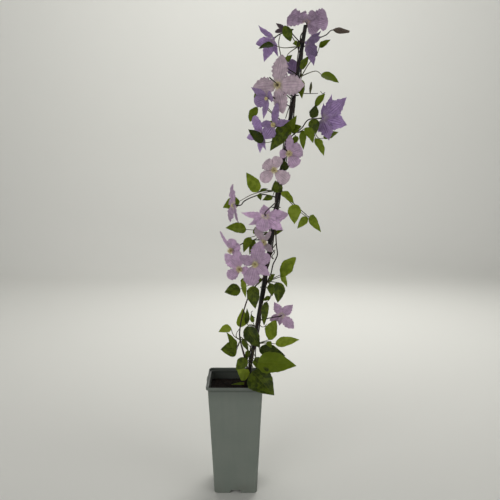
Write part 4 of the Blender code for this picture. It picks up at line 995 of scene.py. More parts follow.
def pot_finish():
    """Moulded grey green plastic, a little dusty, with faint flow streaks and scuffed edges, and
    painted shade inside it, under its floor, up its wall, under its lip and on its rim.
    """
    finish, tree, shader = new_finish("pot_plastic", 0.55, Specular_IOR_Level=0.35)
    patches = place_group(tree, PATCHES, {"Scale": 22.0, "Fine Scale": 2600.0})
    grain = place_group(tree, GRAIN, {"Scale": 130.0, "Stretch": 0.08})
    dust = times(tree, patches["Patches"], 0.35)
    dust = compute(tree, "MULTIPLY_ADD", grain["Grain"], 0.18, dust)
    worn = add(tree, "ShaderNodeNewGeometry").outputs["Pointiness"]
    place = add(tree, "ShaderNodeSeparateXYZ", {0: object_place(tree)}).outputs
    height = place["Z"]
    reach = compute(tree, "MAXIMUM", compute(tree, "ABSOLUTE", place["X"]),
                    compute(tree, "ABSOLUTE", place["Y"]))
    splash = ramp(tree, height, *SPLASH_SHADE, 0.35, 0.0)
    layers = (
        (dust, POT_DUSTY),
        (ramp(tree, worn, 0.52, 0.62, 0.0, 0.5), POT_SCUFFED),
        (times(tree, splash, patches["Patches"]), POT_SPLASHED),
        # painted shade on the pot's inner walls
        (times(tree, attribute(tree, "under"), 0.75), POT_INSIDE_SHADE),
        (pot_shade(tree, height, reach), POT_SHADE),
    )
    colour = layered(tree, opaque(POT_PLASTIC), layers)
    # painted shade on the rim, up the wall and under the lip
    for value in pot_brightness(tree, height):
        colour = brighten(tree, colour, value)
    tree.links.new(colour, shader.inputs["Base Color"])
    rough = compute(tree, "MULTIPLY_ADD", patches["Patches"], 0.14, 0.47)
    tree.links.new(rough, shader.inputs["Roughness"])
    raise_surface(tree, shader, patches["Specks"], 0.00008, 0.6)
    return finish


def soil_finish():
    """Damp dark compost with a few reddish fibres' worth of brown in it."""
    finish, tree, shader = new_finish("soil_compost", 0.95, Specular_IOR_Level=0.2)
    patches = place_group(tree, PATCHES, {"Scale": 260.0, "Fine Scale": 1600.0})
    layers = (
        (patches["Patches"], SOIL_BROWN),
        (ramp(tree, patches["Specks"], 0.80, 1.0, 0.0, 0.7), SOIL_FIBRE),
    )
    colour = layered(tree, opaque(SOIL_DARK), layers)
    tree.links.new(colour, shader.inputs["Base Color"])
    raise_surface(tree, shader, patches["Specks"], 0.0008, 0.8)
    return finish


def plain_finish(name, low, high, roughness):
    """A small part's finish: two near colours in soft patches, with a little relief."""
    finish, tree, shader = new_finish(name, roughness)
    patches = place_group(tree, PATCHES, {"Scale": 400.0, "Fine Scale": 2400.0})
    colour = mix(tree, patches["Patches"], opaque(low), opaque(high))
    tree.links.new(colour, shader.inputs["Base Color"])
    raise_surface(tree, shader, patches["Specks"], 0.0001, 0.5)
    return finish


def make_finishes():
    """Every finish, by name."""
    made = [pot_finish(), soil_finish(), leaf_finish()]
    made += [sepal_finish(name, *looks) for name, looks in SEPAL_FINISHES.items()]
    made += [bark_finish(name, *looks) for name, looks in BARK_FINISHES.items()]
    made += [plain_finish(name, *looks) for name, looks in PLAIN_FINISHES.items()]
    return {finish.name: finish for finish in made}


FINISHES = make_finishes()


# Paths and frames, as in the solids

def cane_centre(height):
    """The cane's axis at a height."""
    return Vector((CANE_X_AT_SOIL + CANE_LEAN * (height - SOIL_TOP), 0.0, height))


def wound_point(stem, height):
    """Where a stem wound round the cane lies at a height, drawn in at each tie."""
    turn = 360.0 * (height - PHASE_HEIGHT) / TURN_LENGTH
    angle = math.radians(STEM_PHASE[stem] + turn)
    drawn_in = sum(math.exp(-((height - tie[0]) / TIE_PINCH_LENGTH) ** 2) for tie in TIES.values())
    reach = STEM_STANDOFF - TIE_PINCH * drawn_in
    return cane_centre(height) + reach * Vector((math.cos(angle), math.sin(angle), 0.0))


def smooth_path(points, step):
    """Points about a step apart on a smooth curve through the given points."""
    path = [Vector(point) for point in points]
    ends = [2 * path[0] - path[1]] + path + [2 * path[-1] - path[-2]]
    result = [path[0]]
    for k in range(len(path) - 1):
        before, start, end, after = ends[k:k + 4]
        count = max(1, round((end - start).length / step))
        for i in range(1, count + 1):
            t = i / count
            blend = (2 * start + (end - before) * t
                     + (2 * before - 5 * start + 4 * end - after) * t ** 2
                     + (3 * start - before - 3 * end + after) * t ** 3)
            result.append(blend * 0.5)
    return result


def stem_path(stem):
    """The whole of one climbing stem, its loops off the cane included."""
    loop = [cane_centre(z) + Vector((dx, dy, 0.0)) for z, dx, dy in LOOPS[stem]]
    clear_of = [(loop[0].z - LOOP_MARGIN, loop[-1].z + LOOP_MARGIN)] if loop else []
    count = round((STEM_TOP[stem] - STEM_FOOT) / STEM_STEP)
    heights = [STEM_FOOT + (STEM_TOP[stem] - STEM_FOOT) * k / count for k in range(count + 1)]
    wound = [wound_point(stem, z) for z in heights
             if not any(low < z < high for low, high in clear_of)]
    return smooth_path(sorted(wound + loop, key=lambda point: point.z), STEM_STEP)


def fine_path(points):
    """A stalk's path: first smoothed in long steps, as in the solids, and then in fine ones."""
    return smooth_path(smooth_path(points, STALK_STEP), FINE_STEP)


STEM_PATHS = {stem: stem_path(stem) for stem in STEM_PHASE}


def stem_point(stem, height):
    """The middle of a stem at a height."""
    path = STEM_PATHS[stem]
    for low, high in zip(path, path[1:]):
        if low.z <= height <= high.z:
            return low.lerp(high, (height - low.z) / (high.z - low.z))
    return path[-1].copy()


def stem_radius(stem, height):
    """A stem thins from the soil to its tip."""
    share = (height - STEM_FOOT) / (STEM_TOP[stem] - STEM_FOOT)
    return STEM_RADIUS + (STEM_TIP_RADIUS - STEM_RADIUS) * min(share, 1.0)


def nearest_stem(height, target):
    """The stem that passes nearest to a target, measured at one height."""
    reaching = [stem for stem in STEM_PHASE if STEM_TOP[stem] >= height]
    return min(reaching, key=lambda stem: (stem_point(stem, height) - target).length)


def across(direction):
    """Two directions square to one another and to the given one."""
    helper = UP if abs(direction.z) < 0.9 else NORTH
    first = direction.cross(helper).normalized()
    return first, direction.cross(first).normalized()


def facing_frame(turn, tilt):
    """The way a flower faces, its own up and its own right as its viewer sees them."""
    turn, tilt = math.radians(turn), math.radians(tilt)
    level = math.cos(tilt)
    front = Vector((math.sin(turn) * level, -math.cos(turn) * level, math.sin(tilt)))
    above = UP
    if abs(front.z) > math.sin(math.radians(STEEP_TILT)):
        above = Vector((-math.sin(turn), math.cos(turn), 0.0))
    above = (above - front * above.dot(front)).normalized()
    return front, above, above.cross(front)


def leaf_outline(t, bends):
    """Half width along a leaf, as a share of its widest half."""
    fullness, roundness = bends
    return math.sin(math.pi * min(max(t, 0.0), 1.0) ** fullness) ** roundness


def sepal_outline(t, kind):
    """Half width along a sepal, as a share of its widest half."""
    widest, fullness, bluntness = OUTLINES[kind]
    if t < widest:
        return math.sin(math.pi / 2 * t / widest) ** fullness
    return max(0.0, math.cos(math.pi / 2 * (t - widest) / (1 - widest))) ** bluntness


# Meshes

def new_piece(name, data):
    """A mesh, light or camera as an object in the scene."""
    piece = bpy.data.objects.new(name, data)
    bpy.context.scene.collection.objects.link(piece)
    return piece


def apply_modifiers(piece):
    """Keep what a piece's modifiers make as its mesh."""
    graph = bpy.context.evaluated_depsgraph_get()
    result = bpy.data.meshes.new_from_object(piece.evaluated_get(graph))
    piece.modifiers.clear()
    piece.data = result


class Shape:
    """Points, faces and what they carry, gathered before they become one piece."""

    def __init__(self):
        self.points = []
        self.faces = []
        self.maps = []
        self.tones = []
        self.unders = []

    def add_point(self, point, tone, under):
        """One point with its tone and whether it lies underneath."""
        self.points.append(point)
        self.tones.append(tone)
        self.unders.append(under)
        return len(self.points) - 1

    def add_face(self, corners):
        """One face from (point, map place) corners, with doubled points dropped."""
        kept = []
        for corner in corners:
            if corner[0] not in [index for index, _ in kept]:
                kept.append(corner)
        if len(kept) > 2:
            self.faces.append([index for index, _ in kept])
            self.maps.extend(place for _, place in kept)

    def add_blade(self, grid, thickness, tone):
        """A thin closed blade from a grid of points whose end rows are each one point."""
        last, end = len(grid) - 1, len(grid[0]) - 1
        fronts, backs = [], []
        for r, row in enumerate(grid):
            if r in (0, last):
                index = self.add_point(row[0], tone, 0.5)
                fronts.append([index] * (end + 1))
                backs.append([index] * (end + 1))
                continue
            front_row, back_row = [], []
            for c, point in enumerate(row):
                if c in (0, end):
                    index = self.add_point(point, tone, 0.5)
                    front_row.append(index)
                    back_row.append(index)
                    continue
                sideways, onwards = row[c + 1] - row[c - 1], grid[r + 1][c] - grid[r - 1][c]
                half = sideways.cross(onwards).normalized() * (thickness / 2)
                front_row.append(self.add_point(point + half, tone, 0.0))
                back_row.append(self.add_point(point - half, tone, 1.0))
            fronts.append(front_row)
            backs.append(back_row)
        for r in range(last):
            for c in range(end):
                cells = ((r, c), (r, c + 1), (r + 1, c + 1), (r + 1, c))
                places = [(cell[1] / end, cell[0] / last) for cell in cells]
                self.add_face([(fronts[i][j], place) for (i, j), place in zip(cells, places)])
                self.add_face([(backs[i][j], place) for (i, j), place in zip(cells, places)][::-1])

    def add_rings(self, rings, first_inner=None):
        """A closed body through rings of equal count, with filled ends and marked inner rings."""
        inner = len(rings) if first_inner is None else first_inner
        rows = [[self.add_point(point, 0.5, float(k >= inner)) for point in ring]
                for k, ring in enumerate(rings)]
        count = len(rows[0])
        for k, (low, high) in enumerate(zip(rows, rows[1:])):
            for i in range(count):
                j = (i + 1) % count
                places = ((i, k), (i + 1, k), (i + 1, k + 1), (i, k + 1))
                corners = zip((low[i], low[j], high[j], high[i]), places)
                self.add_face([(index, (u / count, v / len(rows))) for index, (u, v) in corners])
        self.add_face([(index, (0.5, 0.0)) for index in reversed(rows[0])])
        self.add_face([(index, (0.5, 1.0)) for index in rows[-1]])

    def finish_piece(self, name, finish, sharp=USUAL_SHARP):
        """The gathered shape as one smooth shaded piece."""
        mesh = bpy.data.meshes.new(name)
        mesh.from_pydata([tuple(point) for point in self.points], [], self.faces)
        layer = mesh.uv_layers.new(name="UVMap")
        for corner, place in zip(layer.data, self.maps):
            corner.uv = place
        for label, values in (("tone", self.tones), ("under", self.unders)):
            carried = mesh.attributes.new(label, "FLOAT", "POINT")
            carried.data.foreach_set("value", values)
        mesh.update()
        mesh.shade_smooth()
        mesh.set_sharp_from_angle(angle=math.radians(sharp))
        mesh.materials.append(FINISHES[finish])
        return new_piece(name, mesh)


def settle(piece, slot, *nodes):
    """A finished piece rides on the one body and stands for the nodes it replaces; the slot is not
    used.
    """
    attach(piece, "root")
    if nodes:
        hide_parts(*nodes)


def ring_points(centre, one, other, radius, sides):
    """Points round a circle that lies in the plane of two directions."""
    angles = [2 * math.pi * i / sides for i in range(sides)]
    return [centre + radius * (one * math.cos(a) + other * math.sin(a)) for a in angles]


def bell(value, middle, width):
    """1 at the middle, falling smoothly to 0 about a width away."""
    return math.exp(-((value - middle) / width) ** 2)


# Geometry node trees

def open_tree(name, inputs):
    """A geometry node tree that takes geometry and named inputs, what it is given, and its end."""
    sockets = (("Geometry", "Geometry", None), *inputs)
    result = (("Geometry", "Geometry"),)
    tree, given, results = open_group(name, "GeometryNodeTree", sockets, result)
    return tree, given, results["Geometry"]


def paint(tree, geometry, finish):
    """Geometry with a finish on it."""
    return result_of(tree, "GeometryNodeSetMaterial", {"Geometry": geometry, "Material": finish})


def realize(tree, geometry):
    """Instances made into geometry of their own."""
    return result_of(tree, "GeometryNodeRealizeInstances", {"Geometry": geometry})


def join(tree, *parts):
    """Several geometries as one."""
    both = add(tree, "GeometryNodeJoinGeometry")
    for part in parts:
        tree.links.new(part, both.inputs[0])
    return both.outputs[0]


def place_copies(tree, points, shape, turns, sizes):
    """Copies of a shape on points, each with its turn and its size."""
    inputs = {"Points": points, "Instance": shape, "Rotation": turns, "Scale": sizes}
    return result_of(tree, "GeometryNodeInstanceOnPoints", inputs)


def random_value(tree, low, high, seed):
    """A draw between two numbers for each point."""
    node = add(tree, "FunctionNodeRandomValue", {"Seed": seed}, data_type="FLOAT")
    node.inputs[2].default_value = low
    node.inputs[3].default_value = high
    return node.outputs[1]


def random_vector(tree, low, high, seed):
    """A draw between two vectors for each point."""
    inputs = {"Seed": seed, 0: low, 1: high}
    return result_of(tree, "FunctionNodeRandomValue", inputs, data_type="FLOAT_VECTOR")


def rods_tree():
    """Round or ribbed rods along lines, as thick as each point's girth says."""
    tree, given, end = open_tree(
        "rods along lines",
        (("Sides", "Int", 10), ("Ribs", "Int", 6), ("Rib Depth", "Float", 0.08),
         ("Finish", "Material", None)))
    girth = add(tree, "GeometryNodeInputNamedAttribute", {"Name": "girth"}).outputs["Attribute"]
    lines = result_of(tree, "GeometryNodeMeshToCurve", {"Mesh": given["Geometry"]})
    inputs = {"Resolution": given["Sides"], "Radius": 1.0}
    ring = result_of(tree, "GeometryNodeCurvePrimitiveCircle", inputs)
    place = result_of(tree, "GeometryNodeInputPosition")
    parts = add(tree, "ShaderNodeSeparateXYZ", {0: place}).outputs
    angle = compute(tree, "ARCTAN2", parts["Y"], parts["X"])
    rise = compute(tree, "COSINE", times(tree, angle, given["Ribs"]))
    rise = times(tree, rise, given["Rib Depth"])
    push = result_of(tree, "ShaderNodeVectorMath", {0: place, "Scale": rise}, operation="SCALE")
    ribbed = result_of(tree, "GeometryNodeSetPosition", {"Geometry": ring, "Offset": push})
    inputs = {"Curve": lines, "Profile Curve": ribbed, "Scale": girth, "Fill Caps": True}
    body = result_of(tree, "GeometryNodeCurveToMesh", inputs)
    smooth = result_of(tree, "GeometryNodeSetShadeSmooth", {"Geometry": body})
    tree.links.new(paint(tree, realize(tree, smooth), given["Finish"]), end)
    return tree


def stamen_shape(tree, given):
    """One stamen: a filament that bends outwards, and an anther at its top."""
    length = given["Length"]
    knee = vector(tree, times(tree, length, 0.10), z=times(tree, length, 0.55))
    top = vector(tree, z=length)
    inputs = {"Resolution": 3, "Start": (0.0, 0.0, 0.0), "Middle": knee, "End": top}
    line = result_of(tree, "GeometryNodeCurveQuadraticBezier", inputs)
    inputs = {"Resolution": 4, "Radius": FILAMENT_RADIUS}
    ring = result_of(tree, "GeometryNodeCurvePrimitiveCircle", inputs)
    inputs = {"Curve": line, "Profile Curve": ring}
    filament = paint(tree, result_of(tree, "GeometryNodeCurveToMesh", inputs), given["Filament"])
    ball = result_of(tree, "GeometryNodeMeshUVSphere", {"Segments": 6, "Rings": 4, "Radius": 1.0})
    inputs = {"Geometry": ball, "Translation": top, "Scale": ANTHER_SIZE}
    anther = paint(tree, result_of(tree, "GeometryNodeTransform", inputs), given["Anther"])
    return join(tree, filament, anther)


def eye_shape(tree, given):
    """The eye of a tuft: a dome that fills its middle."""
    dome = result_of(tree, "GeometryNodeMeshUVSphere", {"Segments": 12, "Rings": 8, "Radius": 1.0})
    inputs = {"Geometry": dome, "Translation": EYE_PLACE, "Scale": EYE_SIZE}
    dome = result_of(tree, "GeometryNodeTransform", inputs)
    size = given["Eye Size"]
    inputs = {"Geometry": dome, "Scale": vector(tree, size, size, size)}
    return paint(tree, result_of(tree, "GeometryNodeTransform", inputs), given["Eye"])


def stamens_tree():
    """A tuft of stamens in a spiral round an eye, which lean out further from the middle."""
    tree, given, end = open_tree(
        "stamen tuft",
        (("Count", "Int", 64), ("Foot", "Float", 0.0015), ("Spread", "Float", 1.15),
         ("Length", "Float", 0.0066), ("Seed", "Int", 1), ("Eye Size", "Float", 1.0),
         ("Turn", "Vector", None), ("Place", "Vector", None), ("Filament", "Material", None),
         ("Anther", "Material", None), ("Eye", "Material", None)))
    index = result_of(tree, "GeometryNodeInputIndex")
    part = compute(tree, "DIVIDE", compute(tree, "ADD", index, 0.5), given["Count"])
    share = compute(tree, "SQRT", part)
    turn = times(tree, index, math.radians(SPIRAL_TURN))
    reach = times(tree, share, given["Foot"])
    spot = vector(tree, times(tree, reach, compute(tree, "COSINE", turn)),
                  times(tree, reach, compute(tree, "SINE", turn)))
    inputs = {"Count": given["Count"], "Position": spot}
    points = result_of(tree, "GeometryNodePoints", inputs)
    lean = times(tree, compute(tree, "POWER", share, 1.3), given["Spread"])
    lean = times(tree, lean, random_value(tree, 0.82, 1.10, given["Seed"]))
    tilt = result_of(tree, "FunctionNodeEulerToRotation", {0: vector(tree, y=lean, z=turn)})
    size = random_value(tree, 0.80, 1.05, compute(tree, "ADD", given["Seed"], 7.0))
    tuft = place_copies(tree, points, stamen_shape(tree, given), tilt, size)
    everything = join(tree, tuft, eye_shape(tree, given))
    facing = result_of(tree, "FunctionNodeEulerToRotation", {0: given["Turn"]})
    inputs = {"Geometry": everything, "Translation": given["Place"], "Rotation": facing}
    placed = result_of(tree, "GeometryNodeTransform", inputs)
    smooth = result_of(tree, "GeometryNodeSetShadeSmooth", {"Geometry": placed})
    tree.links.new(realize(tree, smooth), end)
    return tree


def crumbs_tree():
    """Crumbs scattered over the upward faces of a surface, added to it."""
    tree, given, end = open_tree(
        "scattered crumbs",
        (("Density", "Float", 1000.0), ("Size", "Float", 0.001), ("Level", "Float", 0.1),
         ("Seed", "Int", 1), ("Finish", "Material", None)))
    base = given["Geometry"]
    place = result_of(tree, "GeometryNodeInputPosition")
    height = add(tree, "ShaderNodeSeparateXYZ", {0: place}).outputs["Z"]
    top = compute(tree, "GREATER_THAN", height, given["Level"])
    inputs = {"Mesh": base, "Selection": top, "Density": given["Density"], "Seed": given["Seed"]}
    points = add(tree, "GeometryNodeDistributePointsOnFaces", inputs).outputs["Points"]
    inputs = {"Radius": given["Size"], "Subdivisions": 1}
    crumb = result_of(tree, "GeometryNodeMeshIcoSphere", inputs)
    turns = random_vector(tree, (0.0, 0.0, 0.0), (math.tau, math.tau, math.tau), 3)
    turned = result_of(tree, "FunctionNodeEulerToRotation", {0: turns})
    sizes = random_vector(tree, CRUMB_LOW, CRUMB_HIGH, 5)
    both = join(tree, base, place_copies(tree, points, crumb, turned, sizes))
    tree.links.new(paint(tree, realize(tree, both), given["Finish"]), end)
    return tree


def hairs_tree():
    """Fine hairs that stand on a surface, each a slim closed cone."""
    tree, given, end = open_tree(
        "fine hairs",
        (("Density", "Float", 1000.0), ("Length", "Float", 0.0007), ("Seed", "Int", 1),
         ("Finish", "Material", None)))
    inputs = {"Mesh": given["Geometry"], "Density": given["Density"], "Seed": given["Seed"]}
    spots = add(tree, "GeometryNodeDistributePointsOnFaces", inputs).outputs
    inputs = {"Vertices": 3, "Radius Top": 0.0, "Radius Bottom": HAIR_RADIUS,
              "Depth": given["Length"]}
    hair = result_of(tree, "GeometryNodeMeshCone", inputs)
    sizes = random_value(tree, 0.45, 1.15, 7)
    hairs = place_copies(tree, spots["Points"], hair, spots["Rotation"], sizes)
    tree.links.new(paint(tree, realize(tree, hairs), given["Finish"]), end)
    return tree


RODS = rods_tree()
STAMENS = stamens_tree()
CRUMBS = crumbs_tree()
HAIRS = hairs_tree()


def grow(piece, tree, **values):
    """Run a node tree on a piece with its inputs set by name, and keep the result as its mesh."""
    modifier = piece.modifiers.new("grow", "NODES")
    modifier.node_group = tree
    wanted = {key.replace("_", " "): value for key, value in values.items()}
    for item in tree.interface.items_tree:
        if item.item_type == "SOCKET" and item.in_out == "INPUT" and item.name in wanted:
            modifier[item.identifier] = wanted[item.name]
    apply_modifiers(piece)
    return piece


def add_hairs(piece, density, slot, *nodes):
    """Fine hairs over a piece, as a piece of their own."""
    hairs = new_piece(piece.name + "_hairs", piece.data.copy())
    grow(hairs, HAIRS, Density=density, Length=HAIR_LENGTH, Seed=2, Finish=FINISHES["fine_hair"])
    settle(hairs, slot, *nodes)


def lines_piece(name, lines):
    """A piece of bare lines; each line is its points and their girths, closed where it says so."""
    mesh = bpy.data.meshes.new(name)
    points, edges, girths = [], [], []
    for path, radii, closed in lines:
        first = len(points)
        points += [tuple(point) for point in path]
        girths += radii
        edges += [(first + k, first + k + 1) for k in range(len(path) - 1)]
        if closed:
            edges.append((len(points) - 1, first))
    mesh.from_pydata(points, edges, [])
    mesh.attributes.new("girth", "FLOAT", "POINT").data.foreach_set("value", girths)
    return new_piece(name, mesh)


def rods(name, lines, finish, sides=10, ribs=6, depth=0.0):
    """Rods along lines as one finished piece."""
    piece = lines_piece(name, lines)
    return grow(piece, RODS, Sides=sides, Ribs=ribs, Rib_Depth=depth, Finish=FINISHES[finish])


def even_girths(count, radii):
    """Girths for a count of points, with the radii spread evenly along them."""
    girths = []
    for k in range(count):
        place = k / (count - 1) * (len(radii) - 1)
        low = min(int(place), len(radii) - 2)
        girths.append(radii[low] + (radii[low + 1] - radii[low]) * (place - low))
    return girths


# Pieces

def outer_half(height):
    """Half the pot's outer width at a height below the rim."""
    return FOOT_HALF + (BODY_TOP_HALF - FOOT_HALF) * height / (POT_HEIGHT - RIM_DEPTH)


def wall_relief(offset, height):
    """How far the wall stands in from its plane: a shallow panel with a rounded top, and a seam."""
    share = offset / BODY_TOP_HALF
    edge = PANEL_TOP - PANEL_DIP * (1 - share * share)
    inside = 1 / (1 + math.exp((height - edge) / PANEL_EDGE))
    seam = bell(offset, 0.0, SEAM_WIDTH) * (1 - inside)
    return PANEL_DEPTH * inside - SEAM_HEIGHT * seam


def square_ring(half, corner, height, relief=False):
    """Points round a square with rounded corners, all at one height."""
    points = []
    for quarter in range(4):
        start = math.radians(90 * quarter)
        ahead = Vector((-math.sin(start), math.cos(start), 0.0))
        out = Vector((math.cos(start), math.sin(start), 0.0))
        for step in range(SIDE_STEPS):
            offset = (half - corner) * (2 * step / SIDE_STEPS - 1)
            reach = half - (wall_relief(offset, height) if relief else 0.0)
            points.append(out * reach + ahead * offset)
        centre = (out + ahead) * (half - corner)
        inset = wall_relief(half - corner, height) if relief else 0.0
        for step in range(CORNER_STEPS):
            angle = start + math.radians(90) * step / CORNER_STEPS
            way = Vector((math.cos(angle), math.sin(angle), 0.0))
            points.append(centre + (corner - inset) * way)
    for point in points:
        point.z = height
    return points


def arc(centre_half, centre_height, radius, start, end):
    """Profile points (half width, height) round an arc, in degrees from outwards to upwards."""
    turns = [start + (end - start) * k / ARC_STEPS for k in range(ARC_STEPS + 1)]
    return [(centre_half + radius * math.cos(math.radians(turn)),
             centre_height + radius * math.sin(math.radians(turn))) for turn in turns]


def box(low, high):
    """The rings of a box between two corners."""
    (x0, y0, z0), (x1, y1, z1) = low, high
    return [[Vector((x0, y0, z)), Vector((x1, y0, z)), Vector((x1, y1, z)), Vector((x0, y1, z))]
            for z in (z0, z1)]


def notch_box(side, out, grow_by, low, high):
    """The rings of a box along one foot notch."""
    dx, dy = side
    back = FOOT_HALF - NOTCH_DEPTH - grow_by
    half = NOTCH_WIDTH / 2 + grow_by
    xs = sorted((dx * out, dx * back)) if dx else (-half, half)
    ys = sorted((dy * out, dy * back)) if dy else (-half, half)
    return box((xs[0], ys[0], low), (xs[1], ys[1], high))


def combine(piece, bodies, operation):
    """Join bodies to a piece, or cut them out of it, in one Boolean that is then applied."""
    group = bpy.data.collections.new(piece.name + "_parts")
    bpy.context.scene.collection.children.link(group)
    for rings in bodies:
        shape = Shape()
        shape.add_rings(rings)
        part = shape.finish_piece(piece.name + "_part", "pot_plastic")
        bpy.context.scene.collection.objects.unlink(part)
        group.objects.link(part)
    modifier = piece.modifiers.new("combine", "BOOLEAN")
    modifier.operation = operation
    modifier.operand_type = "COLLECTION"
    modifier.collection = group
    modifier.solver = "EXACT"
    apply_modifiers(piece)
    for part in list(group.objects):
        bpy.data.objects.remove(part, do_unlink=True)
    bpy.data.collections.remove(group)


def pot_profile():
    """The pot's profile outside and inside, and which of its outer points lie on the wall."""
    rim_foot = POT_HEIGHT - RIM_DEPTH
    lip_half, lip_top = RIM_HALF - LIP_RADIUS, POT_HEIGHT - LIP_RADIUS
    outside = arc(outer_half(0) - FOOT_BEVEL, FOOT_BEVEL, FOOT_BEVEL, -90, 0)
    first = len(outside)
    low = outside[-1][1]
    for k in range(1, WALL_LEVELS + 1):
        height = low + (rim_foot - low) * k / WALL_LEVELS
        outside.append((outer_half(height), height))
    wall = range(first, len(outside))
    outside += arc(lip_half, rim_foot + WALL / 2 + LIP_RADIUS, LIP_RADIUS, -90, 0)
    outside += arc(lip_half, lip_top, LIP_RADIUS, 0, 90)
    inner_rim = RIM_HALF - WALL
    inside = arc(inner_rim + LIP_RADIUS, lip_top, LIP_RADIUS, 90, 180)
    inside.append((inner_rim, rim_foot + 1.5 * WALL))
    inside.append((outer_half(rim_foot) - WALL, rim_foot + WALL))
    inside.append((outer_half(FLOOR) - WALL, FLOOR))
    return outside, inside, wall


def drain_hole(side):
    """The rings of a drain hole through the floor over one notch."""
    reach = FOOT_HALF - NOTCH_DEPTH / 2
    low = Vector((side[0] * reach, side[1] * reach, NOTCH_HEIGHT / 2))
    return [ring_points(low + UP * rise, EAST, NORTH, DRAIN_RADIUS, DRAIN_SIDES)
            for rise in (0.0, NOTCH_HEIGHT)]


def build_pot():
    """The pot: tapered wall with moulded panels, rounded rim, lug, and floor raised at notches."""
    outside, inside, wall = pot_profile()
    rings = [square_ring(half, CORNER, height, k in wall)
             for k, (half, height) in enumerate(outside)]
    rings += [square_ring(half, CORNER - WALL, height) for half, height in inside]
    shape = Shape()
    shape.add_rings(rings, len(rings) - 3)
    pot = shape.finish_piece("pot_shell", "pot_plastic")
    depth, width, height = LUG_SIZE
    back = -RIM_HALF - depth + LUG_ROOT
    raised = [box((back, -width / 2, LUG_TOP - height), (back + depth, width / 2, LUG_TOP))]
    raised += [notch_box(side, FOOT_HALF - WALL / 2, WALL, FLOOR / 2, NOTCH_HEIGHT + WALL)
               for side in POT_SIDES]
    combine(pot, raised, "UNION")
    cuts = [notch_box(side, FOOT_HALF + CORNER, 0.0, -FLOOR, NOTCH_HEIGHT) for side in POT_SIDES]
    cuts += [drain_hole(side) for side in POT_SIDES]
    combine(pot, cuts, "DIFFERENCE")
    pot.data.shade_smooth()
    pot.data.set_sharp_from_angle(angle=math.radians(POT_SHARP))
    settle(pot, "pot", "pot")


def soil_level(x, y, share):
    """The height of the soil's top at a place, lowest where it meets the wall."""
    ripple = math.sin(SOIL_WAVES[0] * x + 1) * math.cos(SOIL_WAVES[1] * y)
    ripple += math.sin(SOIL_SLANTING_WAVE[0] * x + SOIL_SLANTING_WAVE[1] * y)
    coarse, fine = SOIL_GRAIN_PACES
    grain = noise.noise(Vector((x, y, 0.0)) * coarse)
    grain += 0.5 * noise.noise(Vector((x, y, 1.0)) * fine)
    inward = 1 - share ** 6
    rise = inward * (SOIL_ROUGHNESS * ripple * SOIL_RIPPLE + SOIL_GRAIN * grain)
    return SOIL_TOP + rise - SOIL_EDGE_DROP * (1 - inward)


def build_soil():
    """The compost: an uneven top with crumbs on it, filling the pot below."""
    inset = WALL + GAP
    foot = FLOOR + GAP
    rings = [square_ring(outer_half(foot) - inset, CORNER - inset, foot)]
    for k in range(SOIL_RINGS):
        share = 1 - k / SOIL_RINGS
        half = (outer_half(SOIL_TOP) - inset) * share
        ring = square_ring(half, (CORNER - inset) * share, SOIL_TOP)
        for point in ring:
            point.z = soil_level(point.x, point.y, share)
        rings.append(ring)
    shape = Shape()
    shape.add_rings(rings)
    soil = shape.finish_piece("soil_compost", "soil_compost", SOIL_SHARP)
    raised = [notch_box(side, FOOT_HALF, inset, 0.0, NOTCH_HEIGHT + inset) for side in POT_SIDES]
    combine(soil, raised, "DIFFERENCE")
    level = SOIL_TOP - 2 * SOIL_EDGE_DROP
    grow(soil, CRUMBS, Density=CRUMB_DENSITY, Size=CRUMB_SIZE, Level=level, Seed=4,
         Finish=FINISHES["soil_compost"])
    settle(soil, "soil", "soil")


def cane_girth(height):
    """The cane's radius at a height: swollen, ringed knots, a little wear, and a blunt top."""
    below = CANE_KNOT_HALF * 0.7
    swell = sum(bell(height, knot, CANE_KNOT_HALF * 0.5) for knot in CANE_KNOTS)
    groove = sum(bell(height, knot - below, CANE_GROOVE_WIDTH) for knot in CANE_KNOTS)
    wear = CANE_WEAR * noise.noise(Vector((0.0, 0.0, height * CANE_WEAR_PACE)))
    from_top = (CANE_TOP - height) / CANE_END_LENGTH
    taper = min(1.0, CANE_END_SHARE + (1 - CANE_END_SHARE) * from_top)
    return (CANE_RADIUS + CANE_KNOT_SWELL * swell - CANE_GROOVE_DEPTH * groove + wear) * taper


def build_cane():
    """The cane, from near the pot's floor to its top."""
    count = round((CANE_TOP - CANE_FOOT) / CANE_STEP)
    heights = [CANE_FOOT + (CANE_TOP - CANE_FOOT) * k / count for k in range(count + 1)]
    path = [cane_centre(height) for height in heights]
    girths = [cane_girth(height) for height in heights]
    cane = rods("cane_stick", [(path, girths, False)], "cane_stick", 20, 5, 0.02)
    settle(cane, "cane", "cane")


def tie_tail(start, phase):
    """One of a tie's two loose ends, which are twisted together."""
    one, other = across(TIE_TWIST.normalized())
    tail = []
    for k in range(TIE_STEPS + 1):
        t = k / TIE_STEPS
        angle = phase + math.tau * TIE_TWIST_TURNS * t
        aside = one * math.cos(angle) + other * math.sin(angle)
        tail.append(start + TIE_TWIST * t + TIE_WIRE * TIE_TWIST_REACH * aside)
    return tail


def build_ties():
    """Each tie: a ring of wire, and its two ends twisted together."""
    for name, (height, shift, radius) in TIES.items():
        centre = cane_centre(height) + EAST * shift
        lines = []
        for rise in (-TIE_WIRE * 0.5, TIE_WIRE * 0.5):
            ring = ring_points(centre + UP * rise, EAST, NORTH, radius, TIE_STEPS)
            lines.append((ring, [TIE_WIRE * TIE_GIRTH] * len(ring), True))
        for phase in (0.0, math.pi):
            tail = tie_tail(centre - NORTH * radius, phase)
            lines.append((tail, [TIE_WIRE * TIE_GIRTH] * len(tail), False))
        settle(rods(name + "_wire", lines, "tie_wire", 8), "tie", name)


def stalk_girth(t):
    """A flower stalk's radius at a share of its length."""
    foot = STALK_FOOT_SWELL * bell(t, 0.0, STALK_FOOT_SPAN)
    end = STALK_END_SWELL * bell(t, 1.0, STALK_END_SPAN)
    return STALK_RADIUS * (STALK_THIN + foot + end)


